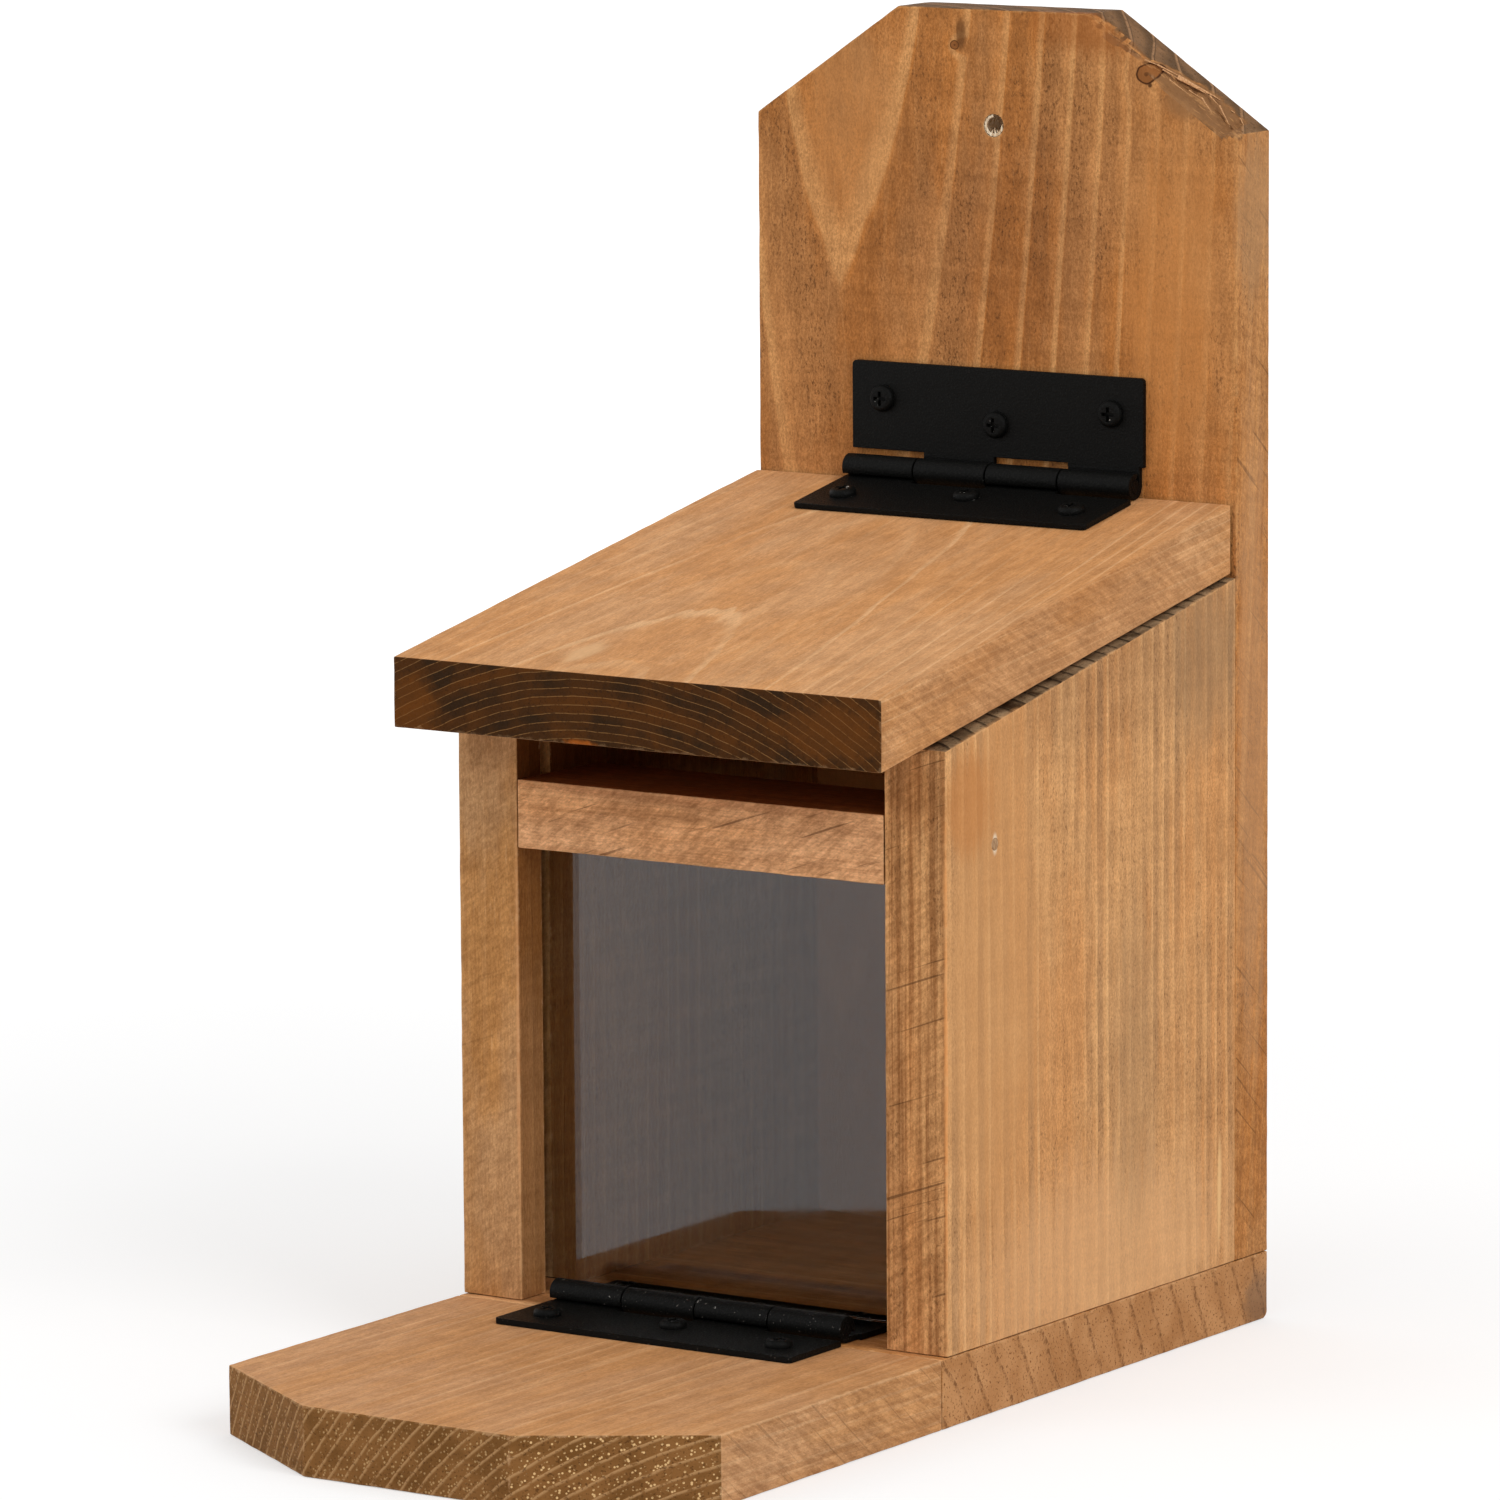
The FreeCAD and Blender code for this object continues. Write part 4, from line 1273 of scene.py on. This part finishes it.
@dataclass
class Splinters:
    """Slivers of torn wood: one is whittled, then copied with its own mesh from each root to each tip.

    facing is where their flat side looks. bends holds a height on the sliver and its move sideways there,
    both as shares of its length and width.
    """

    name: str
    wood: BareWood
    places_mm: Sequence[tuple[Vector, Vector, float]]
    facing: Vector = field(default_factory=lambda: Vector((0.0, -1.0, 0.0)))
    sides: int = 7
    tip: float = 0.06
    flatness: float = 0.5
    cuts: Triple = (0.3, 0.6, 0.85)
    bends: tuple[tuple[float, float], ...] = ((0.3, 0.1), (0.6, 0.02), (1.0, 0.2))

    def build(self) -> bpy.types.Object:
        """Lays the slivers and joins them.

        Returns:
            The finished piece.
        """
        first = self.whittle()
        laid = [self.lay(first, *place) for place in self.places_mm]
        bpy.data.objects.remove(first)
        pick(laid[0])
        for piece in laid:
            piece.select_set(True)
        bpy.ops.object.join()
        piece = bpy.context.active_object
        piece.name = self.name
        piece.data.materials.append(self.wood.material(self.name))
        smooth(piece, 40, weighted=False)
        return settle(piece, Body.BOX, Slot.WOOD)

    def whittle(self) -> bpy.types.Object:
        """Whittles a flat, slightly bent sliver, one unit long and wide.

        Returns:
            The sliver.
        """
        deselect_all()
        bpy.ops.mesh.primitive_cone_add(
            vertices=self.sides, radius1=0.5, radius2=self.tip, depth=1.0, location=(0.0, 0.0, 0.5)
        )
        piece = bpy.context.active_object
        bpy.ops.object.transform_apply(location=True, rotation=True, scale=True)
        with edit_mode(piece):
            bpy.ops.mesh.select_all(action="SELECT")
            bpy.ops.transform.resize(value=(1.0, self.flatness, 1.0))
        upright = Vector((0.0, 0.0, 1.0))
        cut_across(piece, [(upright * height, upright) for height in self.cuts])
        for height, bend in self.bends:
            for vertex in piece.data.vertices:
                if abs(vertex.co.z - height) < 0.01:
                    vertex.co.x += bend
        return piece

    def lay(self, first: bpy.types.Object, root: Vector, tip: Vector, width: float) -> bpy.types.Object:
        """Copies the sliver to its place.

        Args:
            first: The whittled sliver.
            root: Its thick end in millimetres.
            tip: Its thin end in millimetres.
            width: Its width in millimetres.

        Returns:
            The copy.
        """
        run = tip - root
        side = run.cross(self.facing).normalized() * width
        flat = side.cross(run).normalized() * width
        place = Matrix((side * MM, flat * MM, run * MM)).transposed().to_4x4()
        place.translation = root * MM
        mesh = first.data.copy()
        mesh.transform(place)
        piece = bpy.data.objects.new(self.name, mesh)
        bpy.context.scene.collection.objects.link(piece)
        return piece


@dataclass
class HoleFray:
    """The frayed wood in the front rim of the hanging hole: fibres along the rim, and hairs across it.

    turns holds the first fibre's angle, the end of the row and the step, and hairs each hair's angle and
    length.
    """

    hole: Hole = Hole()
    wood: BareWood = BareWood(hue(246, 232, 206), hue(206, 172, 132))
    below_face_mm: float = 0.3
    rim_mm: float = 2.15
    turns: tuple[int, int, int] = (95, 331, 21)
    span_deg: int = 44
    fibre_width: float = 0.85
    hairs: tuple[tuple[int, float], ...] = ((250, 1.5), (280, 1.9), (305, 1.3))
    hair_root_mm: float = 2.45
    hair_width: float = 0.7

    def build(self) -> bpy.types.Object:
        """Lays the fibres and the hairs.

        Returns:
            The finished piece.
        """
        centre = Vector(self.hole.centre_mm) + Vector((0.0, self.below_face_mm, 0.0))
        laid = []
        for turn in range(*self.turns):
            root, tip = (centre + self.spoke(angle) * self.rim_mm for angle in (turn, turn + self.span_deg))
            laid.append((root, tip, self.fibre_width))
        for turn, length in self.hairs:
            out = self.spoke(turn)
            root, tip = centre + out * self.hair_root_mm, centre + out * (self.hair_root_mm - length)
            laid.append((root, tip, self.hair_width))
        return Splinters("hole_splinters", self.wood, laid).build()

    def spoke(self, turn_deg: int) -> Vector:
        """Gives the direction from the hole's centre at an angle, upright as the front face is."""
        return Vector((math.cos(math.radians(turn_deg)), 0.0, math.sin(math.radians(turn_deg))))


@dataclass
class CropSlivers:
    """The slivers that stand in the torn crop, flat on its slope.

    Each has a root and a tip, as distances down the slope, into the wood and to the rear, and a width.
    """

    crop: Crop = Crop()
    wood: BareWood = BareWood(hue(222, 168, 116), hue(176, 124, 78))
    places_mm: tuple[tuple[Triple, Triple, float], ...] = (
        ((16.9, 0.3, 0.3), (19.8, 0.25, 3.4), 0.6), ((19.0, 0.25, 2.6), (24.9, 0.2, 6.3), 0.7),
        ((20.5, 0.5, 3.0), (26.0, 0.4, 5.2), 0.6), ((23.6, 0.45, 5.0), (32.8, 0.3, 10.2), 2.0),
        ((25.2, 0.4, 5.6), (31.0, 0.3, 7.8), 1.0), ((24.3, 0.3, 0.5), (30.5, 0.25, 1.0), 0.5),
        ((28.5, 0.25, 2.8), (32.6, 0.2, 3.9), 0.45), ((31.6, 0.2, 4.0), (37.0, 0.2, 0.9), 0.45),
        ((31.2, 0.25, 7.9), (35.6, 0.2, 6.6), 0.5), ((34.8, 0.2, 7.0), (42.0, 0.2, 1.5), 0.5),
        ((36.9, 0.25, 9.2), (39.4, 0.2, 9.5), 0.4), ((38.8, 0.2, 9.7), (42.7, 0.2, 6.6), 0.45),
    )

    def build(self) -> bpy.types.Object:
        """Lays the slivers.

        Returns:
            The finished piece.
        """
        top, run, inward, rear = self.crop.axes()
        laid = []
        for *ends, width in self.places_mm:
            root, tip = (top + run * along + inward * deep + rear * behind for along, deep, behind in ends)
            laid.append((root, tip, width))
        return Splinters("crop_splinters", self.wood, laid, facing=-inward).build()


@dataclass
class NailFiller:
    """The filler over the two rail nails, just under the side panels' faces.

    rings_mm holds, from its rim inwards, each ring's width and how far it rises.
    """

    wood: BareWood = BareWood(hue(196, 158, 116), hue(140, 98, 62))
    face_mm: float = 62.45
    place_mm: tuple[float, float] = (-46.0, 122.2)
    radius_mm: float = 1.3
    thick_mm: float = 0.16
    sides: int = 32
    rings_mm: tuple[tuple[float, float], ...] = ((0.25, 0.04), (0.4, -0.06))

    def build(self) -> bpy.types.Object:
        """Casts one plug, dimples it and mirrors it to the other panel.

        Returns:
            The finished piece.
        """
        deselect_all()
        centre = (self.face_mm - self.thick_mm / 2, *self.place_mm)
        bpy.ops.mesh.primitive_cylinder_add(
            vertices=self.sides, radius=self.radius_mm * MM, depth=self.thick_mm * MM,
            location=tuple(c * MM for c in centre), rotation=(0.0, math.radians(90), 0.0),
        )
        piece = bpy.context.active_object
        piece.name = "nail_filler"
        bpy.ops.object.transform_apply(location=True, rotation=True, scale=True)
        select_faces(piece, lambda middle, normal: normal.x > 0.9)
        with edit_mode(piece):
            for width, rise in self.rings_mm:
                bpy.ops.mesh.inset(thickness=width * MM, depth=rise * MM)
        apply_modifier(piece, "MIRROR", use_axis=(True, False, False))
        with edit_mode(piece):
            bpy.ops.mesh.select_all(action="SELECT")
            bpy.ops.mesh.normals_make_consistent(inside=False)
        piece.data.materials.append(self.wood.material("filler"))
        smooth(piece, 35, weighted=False)
        return settle(piece, Body.BOX, Slot.WOOD)


@dataclass
class Hinge:
    """A strip hinge: two leaves that roll round a pin, and their screws.

    The fixed end's leaf, the pin and that leaf's screws stay on the box. The moving end's ride on its body.
    """

    name: str
    fixed_end: str
    moving_end: str
    moving_body: Body
    dust_share: float = 0.0
    edge_mm: float = 0.16
    edge_deg: float = 40.0
    point_gap: float = 0.0004
    arris_reach: float = 0.0005
    sharp_deg: float = 35.0

    def build(self) -> list[bpy.types.Object]:
        """Builds the hinge's five pieces.

        Returns:
            The pieces.
        """
        coat = PowderCoat(dust_share=self.dust_share).material(self.name + "_coat")
        parts = (
            (self.fixed_end + "_leaf", Body.BOX),
            (self.moving_end + "_leaf", self.moving_body),
            ("pin", Body.BOX),
            (self.fixed_end + "_screws", Body.BOX),
            (self.moving_end + "_screws", self.moving_body),
        )
        return [self.coated(f"{self.name}_{part}", body, coat) for part, body in parts]

    def coated(self, node: str, body: Body, coat: bpy.types.Material) -> bpy.types.Object:
        """Rounds the edges of one steel part and coats it.

        Args:
            node: The CAD node.
            body: The body that it rides on.
            coat: The coat's material.

        Returns:
            The finished piece.
        """
        piece = copy_of_node(node, node + "_coated")
        arrises = arris_points(piece, self.edge_deg, self.point_gap)
        apply_modifier(
            piece, "BEVEL", width=self.edge_mm * MM, segments=2, limit_method="ANGLE",
            angle_limit=math.radians(self.edge_deg), use_clamp_overlap=True,
        )
        mark_arrises(piece, arrises, self.arris_reach)
        piece.data.materials.append(coat)
        smooth(piece, self.sharp_deg)
        return settle(piece, body, Slot.BLACK, node)


@dataclass
class Pane:
    """The clear sheet in the panels' kerfs."""

    node: str = "clear_pane"
    edge_mm: float = 0.2

    def build(self) -> bpy.types.Object:
        """Breaks the sheet's sharp edges and makes it clear.

        Returns:
            The finished piece.
        """
        piece = copy_of_node(self.node, self.node + "_sheet")
        apply_modifier(piece, "BEVEL", width=self.edge_mm * MM, segments=2, limit_method="ANGLE")
        piece.data.materials.append(ClearSheet().material("clear_sheet"))
        smooth(piece, 50)
        return settle(piece, Body.BOX, Slot.PANE, self.node)


@dataclass
class Nails:
    """The nails, which stay as the CAD has them and get their steel."""

    nodes: tuple[str, ...] = ("rail_nails", "back_nails", "floor_nails")

    def build(self) -> None:
        """Dresses the nails."""
        steel = NailSteel().material("drawn_steel")
        for node in self.nodes:
            for place in frame["nodes"][node].material_slots:
                place.material = steel
            LOG.info("%s: dressed as steel", node)


# Studio


@dataclass(frozen=True)
class SoftBox:
    """A square soft light: its name, place, side and power."""

    name: str
    place: Triple
    side: float
    power: float

    def hang(self, target: Triple) -> None:
        """Hangs the light.

        Args:
            target: Where it looks.
        """
        data = bpy.data.lights.new(self.name, "AREA")
        data.size = self.side
        data.energy = self.power
        lamp = bpy.data.objects.new(self.name, data)
        bpy.context.scene.collection.objects.link(lamp)
        lamp.location = self.place
        way = Vector(target) - Vector(self.place)
        lamp.rotation_euler = way.to_track_quat("-Z", "Y").to_euler()


@dataclass
class Studio:
    """The camera, a pale floor and soft light."""

    camera_place: Triple = (1.115175, -1.712875, 0.442865)
    camera_right: Triple = (0.83180, 0.55504, -0.00617)
    camera_up: Triple = (-0.07854, 0.12869, 0.98857)
    camera_ahead: Triple = (-0.54949, 0.82181, -0.15064)
    lens_mm: float = 227.7
    sensor_mm: float = 36.0
    boxes: tuple[SoftBox, ...] = (
        SoftBox("key_light", (2.35, -0.8, 1.9), 1.5, 33.0),
        SoftBox("fill_light", (-1.6, -1.9, 1.2), 1.6, 9.0),
    )
    light_target: Triple = (0.0, -0.02, 0.12)
    room_light: float = 0.72
    floor_side: float = 24.0
    floor_height: float = -0.00002
    floor_grey: float = 0.62
    glow_near: float = 0.44
    glow_far: float = 0.7
    glow_reach: tuple[float, float] = (0.3, 1.4)

    def build(self) -> None:
        """Sets up the whole studio."""
        bpy.context.scene.view_settings.view_transform = "Standard"
        self.camera()
        self.floor()
        for box in self.boxes:
            box.hang(self.light_target)
        self.room()

    def camera(self) -> None:
        """Places the camera where the photograph was taken from."""
        data = bpy.data.cameras.new("camera")
        data.lens = self.lens_mm
        data.sensor_width = self.sensor_mm
        data.clip_start = 0.05
        data.clip_end = 50.0
        camera = bpy.data.objects.new("camera", data)
        bpy.context.scene.collection.objects.link(camera)
        back = -Vector(self.camera_ahead)
        turn = Matrix((self.camera_right, self.camera_up, back)).transposed()
        camera.matrix_world = Matrix.Translation(self.camera_place) @ turn.to_4x4()
        bpy.context.scene.camera = camera

    def floor(self) -> None:
        """Lays the floor, which shows white but keeps shadows."""
        deselect_all()
        bpy.ops.mesh.primitive_plane_add(size=self.floor_side, location=(0.0, 0.0, self.floor_height))
        floor = bpy.context.active_object
        floor.name = "floor"
        recipe = Recipe.named("floor_paper")
        place = recipe.node("TexCoord").outputs["Object"]
        mottle = recipe.step(recipe.noise(place, (3.0, 3.0, 3.0)), 0.3, 0.7)
        low, high = ((self.floor_grey * share,) * 3 + (1.0,) for share in (0.99, 1.01))
        paper = recipe.node("BsdfDiffuse", {"Color": recipe.mix(mottle, low, high)})
        off = recipe.vector("LENGTH", place)
        strength = recipe.step(off, *self.glow_reach, self.glow_near, self.glow_far)
        glow = recipe.node("Emission", {"Strength": recipe.times(self.seen(recipe), strength)})
        both = recipe.node("AddShader")
        recipe.feed(both.inputs[0], paper.outputs[0])
        recipe.feed(both.inputs[1], glow.outputs[0])
        floor.data.materials.append(recipe.finish(both))

    def seen(self, recipe: Recipe) -> Socket:
        """Tells camera, glossy and transmission rays from the others.

        Args:
            recipe: The tree.

        Returns:
            1 for those rays and 0 for the others.
        """
        path = recipe.node("LightPath").outputs
        mirrored = recipe.maths("MAXIMUM", path["Is Glossy Ray"], path["Is Transmission Ray"])
        return recipe.maths("MAXIMUM", path["Is Camera Ray"], mirrored)

    def room(self) -> None:
        """Makes the room: an even soft light that shows as white."""
        world = bpy.data.worlds.new("room")
        bpy.context.scene.world = world
        recipe = Recipe(world)
        strength = recipe.step(self.seen(recipe), 0.0, 1.0, self.room_light, 1.0)
        light = recipe.node("Background", {"Color": (1.0, 1.0, 1.0, 1.0), "Strength": strength})
        recipe.finish(light, "OutputWorld")


# The whole feeder


def both_sides(point: Triple, normal: Triple) -> tuple[tuple[Triple, Triple], ...]:
    """Gives a crop's corner and normal on the right and, mirrored, on the left."""
    return tuple(((way * point[0], *point[1:]), (way * normal[0], *normal[1:])) for way in (1, -1))


@dataclass
class FeederBox:
    """The whole feeder, with a cut of wood for each board.

    crown and nose each hold a point on the right crop of the back or the landing board, in millimetres,
    and the way that the crop faces. The left crops mirror them.
    """

    back: StainedWood = StainedWood(
        Cut((-4.13, 0.0, 0.0), (-40.6, 23.215, 7.634), 6.0, Along.UP, 0.08, 0.62, lopsided=1.2, flip=-1.0),
        tan=hue(192, 134, 80), amber=hue(188, 122, 62), dark=hue(140, 92, 52), pale=hue(214, 158, 100),
        end_dark=hue(92, 66, 41), end_main=hue(142, 104, 70), end_line=hue(160, 120, 84),
        end_line_start=0.86, end_band=0.85,
        ring_share=0.95, ring_even=0.75, ring_line=0.5, ring_deep=0.42, calm=(72.0, 80.0, 0.4),
        fleck_share=0.75, streak_share=0.15, grit=0.75, hair=0.2, cloud=0.4,
        sawn=Along.ACROSS, scratched=0.5, torn=hue(132, 94, 60),
        knots=(Knot(39.4, 276.5, 2.4), Knot(-10.1, 281.0, 1.1)),
        patches=(
            Patch((4.0, BACK_FRONT, 240.0), (30.0, 4.0, 34.0), (0.8, 0.77, 0.78, 1.0), 0.8, "MULTIPLY"),
            Patch((30.0, BACK_FRONT, 287.0), (26.0, 4.0, 9.0), hue(166, 96, 40), 0.5),
            Patch((-38.0, BACK_FRONT, 264.0), (15.0, 4.0, 30.0), hue(206, 148, 92), 0.35),
            Patch((-8.6, BACK_FRONT, 284.0), (2.0, 4.0, 5.0), hue(96, 58, 28), 0.75),
            Patch((49.0, BACK_FRONT, 270.8), (7.0, 3.0, 5.0), hue(146, 104, 66), 0.8),
            Patch((40.4, BACK_FRONT, 274.1), (0.7, 2.0, 0.7), hue(64, 34, 14), 0.9),
            Patch((46.0, BACK_FRONT, 228.0), (17.0, 4.0, 48.0), hue(208, 142, 80), 0.5),
            Patch((SIDE_FACE, 60.0, 130.0), (2.0, 9.0, 90.0), hue(198, 152, 110), 0.45),
            Patch((SIDE_FACE, 60.0, 246.0), (2.0, 9.0, 24.0), hue(176, 136, 96), 0.5),
            INSIDE_BACK,
            # Painted shade inside the box, and deeper painted shade under the roof
            PAINTED_INSIDE_SHADE,
            PAINTED_UNDER_ROOF_SHADE,
        ),
    )
    side: StainedWood = StainedWood(
        Cut((0.0, 0.0, 0.0), (30.0, -110.0, 0.0), 4.4, Along.UP, waver=0.25),
        tan=hue(212, 158, 104), amber=hue(208, 148, 92), dark=hue(168, 126, 86), pale=hue(230, 178, 122),
        # The end grain's dark ring lines are its own; its main colour is made lighter as painted light in the
        # shadowed gap under the roof, where it shows
        end_dark=hue(70, 48, 28), end_main=hue(196, 162, 122), end_line=hue(34, 22, 12),
        end_line_start=0.4, ring_share=0.9, ring_even=0.2, ring_deep=0.85,
        fleck_share=0.55, streak_share=0.05, grit=0.6, hair=0.2, cloud=0.35, planed=0.2,
        sawn=Along.DEEP, fuzz=0.5, streaked=0.75,
        patches=(
            Patch((SIDE_FACE, -4.0, 24.0), (2.0, 70.0, 30.0), hue(230, 178, 128), 0.5),
            Patch((SIDE_FACE, 0.0, 160.0), (2.0, 70.0, 30.0), (0.8, 0.8, 0.82, 1.0), 0.9, "MULTIPLY"),
            # Painted shade: the panel's front face is darkened because it gets less light than its side
            Patch((54.8, SIDE_FRONT, 76.0), (12.0, 0.8, 90.0), (0.84, 0.78, 0.72, 1.0), 1.0, "MULTIPLY"),
            Patch((SIDE_FACE, -46.0, 96.0), (2.0, 26.0, 78.0), hue(206, 150, 96), 0.6),
            Patch((SIDE_FACE, 10.0, 66.0), (2.0, 12.0, 50.0), hue(162, 128, 92), 0.35),
            Patch((SIDE_FACE, 40.0, 150.0), (2.0, 18.0, 26.0), hue(154, 122, 88), 0.45),
            Patch((SIDE_FACE, 46.0, 32.0), (2.0, 1.2, 14.0), hue(244, 196, 136), 0.8),
            Patch((SIDE_FACE, -56.0, 132.0), (2.0, 12.0, 14.0), hue(192, 122, 62), 0.55),
            Patch((SIDE_FACE, -46.0, 122.2), (1.0, 1.1, 2.6), hue(240, 220, 190), 0.85),
            # Painted shadow of the roof's overhang on the top of the panel's front face
            Patch((55.0, SIDE_FRONT, 134.0), (9.0, 2.0, 9.0), (0.66, 0.56, 0.46, 1.0), 0.7, "MULTIPLY"),
            Patch((62.4, -65.2, 80.0), (0.8, 0.9, 70.0), hue(238, 162, 96), 0.7),
            # Painted shade inside the box, and deeper painted shade under the roof
            PAINTED_INSIDE_SHADE,
            PAINTED_UNDER_ROOF_SHADE,
        ),
    )
    other_side: StainedWood = StainedWood(
        Cut((0.0, 0.0, 0.0), (-54.0, -150.0, 0.0), 4.1, Along.UP, waver=0.35),
        tan=hue(194, 148, 102), amber=hue(190, 136, 80),
        # The end grain's dark ring lines are its own; its main colour is made lighter as painted light in the
        # shadowed gap under the roof, where it shows
        end_dark=hue(70, 48, 28), end_main=hue(196, 162, 122), end_line=hue(34, 22, 12),
        end_line_start=0.4, ring_share=0.5, streak_share=0.12, grit=0.45, hair=0.3, cloud=0.3,
        sawn=Along.DEEP, fuzz=0.4, streaked=0.12, scratched=0.15,
        patches=(
            # Painted shadow of the roof's overhang on the top of the panel's front face
            Patch((-56.0, SIDE_FRONT, 137.0), (6.0, 2.0, 9.0), (0.6, 0.54, 0.48, 1.0), 0.6, "MULTIPLY"),
            Patch((-47.2, -65.2, 75.0), (0.8, 0.9, 58.0), hue(226, 164, 110), 0.6),
            # Painted shade inside the box, and deeper painted shade under the roof
            PAINTED_INSIDE_SHADE,
            PAINTED_UNDER_ROOF_SHADE,
        ),
    )
    rail: StainedWood = StainedWood(
        Cut((0.0, -90.0, 0.0), (-160.0, -110.0, 0.0), 4.0, Along.ACROSS, waver=0.4),
        tan=hue(226, 170, 122), amber=hue(222, 162, 110), ring_share=0.2, fleck_share=0.2, grit=0.4,
        sawn=Along.DEEP, fuzz=0.6,
        patches=(
            # Painted shadow of the roof's overhang on the rail's top and upper front
            Patch((0.0, SIDE_FRONT, 129.7), (60.0, 1.0, 3.4), (0.7, 0.62, 0.58, 1.0), 0.7, "MULTIPLY"),
            # Painted shade inside the box, and deeper painted shade under the roof
            PAINTED_INSIDE_SHADE,
            PAINTED_UNDER_ROOF_SHADE,
        ),
    )
    floor: StainedWood = StainedWood(
        Cut((0.0, -90.0, 0.0), (60.0, -150.0, 0.0), 8.0, Along.ACROSS, waver=0.3),
        end_dark=hue(176, 122, 74), end_main=hue(202, 148, 98), end_line=hue(118, 76, 42),
        end_line_start=0.62, end_pits=1.0, end_broken=0.46,
        patches=(
            Patch((SIDE_FACE, 63.0, 5.0), (3.0, 8.0, 8.0), hue(104, 84, 70), 0.5),
            # Painted shade inside the box
            PAINTED_INSIDE_SHADE,
        ),
    )
    roof: StainedWood = StainedWood(
        Cut((82.5, 0.0, 0.0), (-9.0, -57.0, 0.0), 1.8, Along.DEEP, waver=0.4),
        tan=hue(206, 154, 106), amber=hue(204, 146, 92), dark=hue(188, 136, 90), pale=hue(226, 180, 132),
        end_dark=hue(44, 26, 5), end_main=hue(88, 48, 8), end_line=hue(152, 110, 64),
        end_line_share=0.65, end_line_start=0.88, end_pits=0.4, end_rings=0.55,
        ring_share=0.8, ring_even=0.2, ring_line=0.55, ring_deep=0.3,
        fleck_share=0.2, streak_share=0.25, grit=0.3, hair=0.2, cloud=0.4, planed=0.15,
        sawn=Along.ACROSS, fuzz=0.45, scratched=0.1, wear_share=0.15,
        patches=(
            Patch((-58.0, ROOF_FRONT, 147.0), (9.0, 2.0, 9.0), hue(122, 68, 16), 0.4),
            Patch((50.0, ROOF_FRONT, 150.0), (18.0, 2.0, 8.0), hue(122, 68, 16), 0.4),
            Patch((-14.4, ROOF_FRONT, 142.6), (5.0, 2.0, 1.6), hue(168, 88, 24), 0.9),
            Patch((-22.0, -75.0, 160.4), (4.0, 13.0, 2.4), hue(228, 184, 136), 0.6),
            # Painted shade on the roof's whole right side face
            Patch((61.4, -18.0, 158.0), (1.2, 90.0, 40.0), (0.88, 0.82, 0.76, 1.0), 0.9, "MULTIPLY"),
        ),
    )
    landing: StainedWood = StainedWood(
        Cut((90.0, 0.0, 0.0), (89.0, 74.0, 0.0), 3.0, Along.DEEP, waver=0.3),
        tan=hue(202, 150, 104), amber=hue(200, 144, 92), dark=hue(178, 128, 84), pale=hue(222, 176, 130),
        end_dark=hue(118, 78, 36), end_main=hue(146, 100, 54), end_line=hue(194, 150, 102),
        # Painted highlights on raised fibres of the end faces turned one way
        end_line_share=0.75, end_line_start=0.45, end_highlight_share=0.95, end_rings=0.3, end_pits=0.7,
        ring_deep=0.4, fleck_share=0.2, grit=0.3, hair=0.2, cloud=0.4, planed=0.1,
        sawn=Along.ACROSS, fuzz=0.6, scratched=0.3,
        patches=(
            # Painted shade on the landing's whole right side face
            Patch((SIDE_FACE, -110.0, 7.6), (2.0, 80.0, 14.0), (0.94, 0.96, 0.98, 1.0), 1.0, "MULTIPLY"),
        ),
    )
    roof_pitch_deg: float = 10.318
    crown: tuple[Triple, Triple] = ((SIDE_FACE, BACK_FRONT, 264.2), (25.0, 0.0, 37.5))
    nose: tuple[Triple, Triple] = ((SIDE_FACE, -150.4, 0.0), (23.4, -36.5, 0.0))

    def build(self) -> None:
        """Builds every sub-assembly in order."""
        parts = (
            Board("floor_board", Body.BOX, self.floor),
            BackBoard("back_board", Body.BOX, self.back, crops=both_sides(*self.crown)),
            Board("left_side_panel", Body.BOX, self.other_side),
            Board("right_side_panel", Body.BOX, self.side),
            Board("front_rail", Body.BOX, self.rail),
            Board("roof_board", Body.ROOF, self.roof, pitch_deg=self.roof_pitch_deg),
            Board("landing_board", Body.LANDING, self.landing, crops=both_sides(*self.nose)),
            Hinge("roof_hinge", "wall", "roof", Body.ROOF),
            Hinge("landing_hinge", "floor", "board", Body.LANDING, dust_share=1.0),
            Pane(),
            Nails(),
            NailFiller(),
            HoleFray(),
            CropSlivers(),
        )
        for part in parts:
            part.build()


def main() -> None:
    """Builds the feeder and its studio."""
    logging.basicConfig(level=logging.INFO, format="%(name)s %(message)s")
    Studio().build()
    FeederBox().build()
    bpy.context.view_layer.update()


if __name__ == "__main__":
    main()
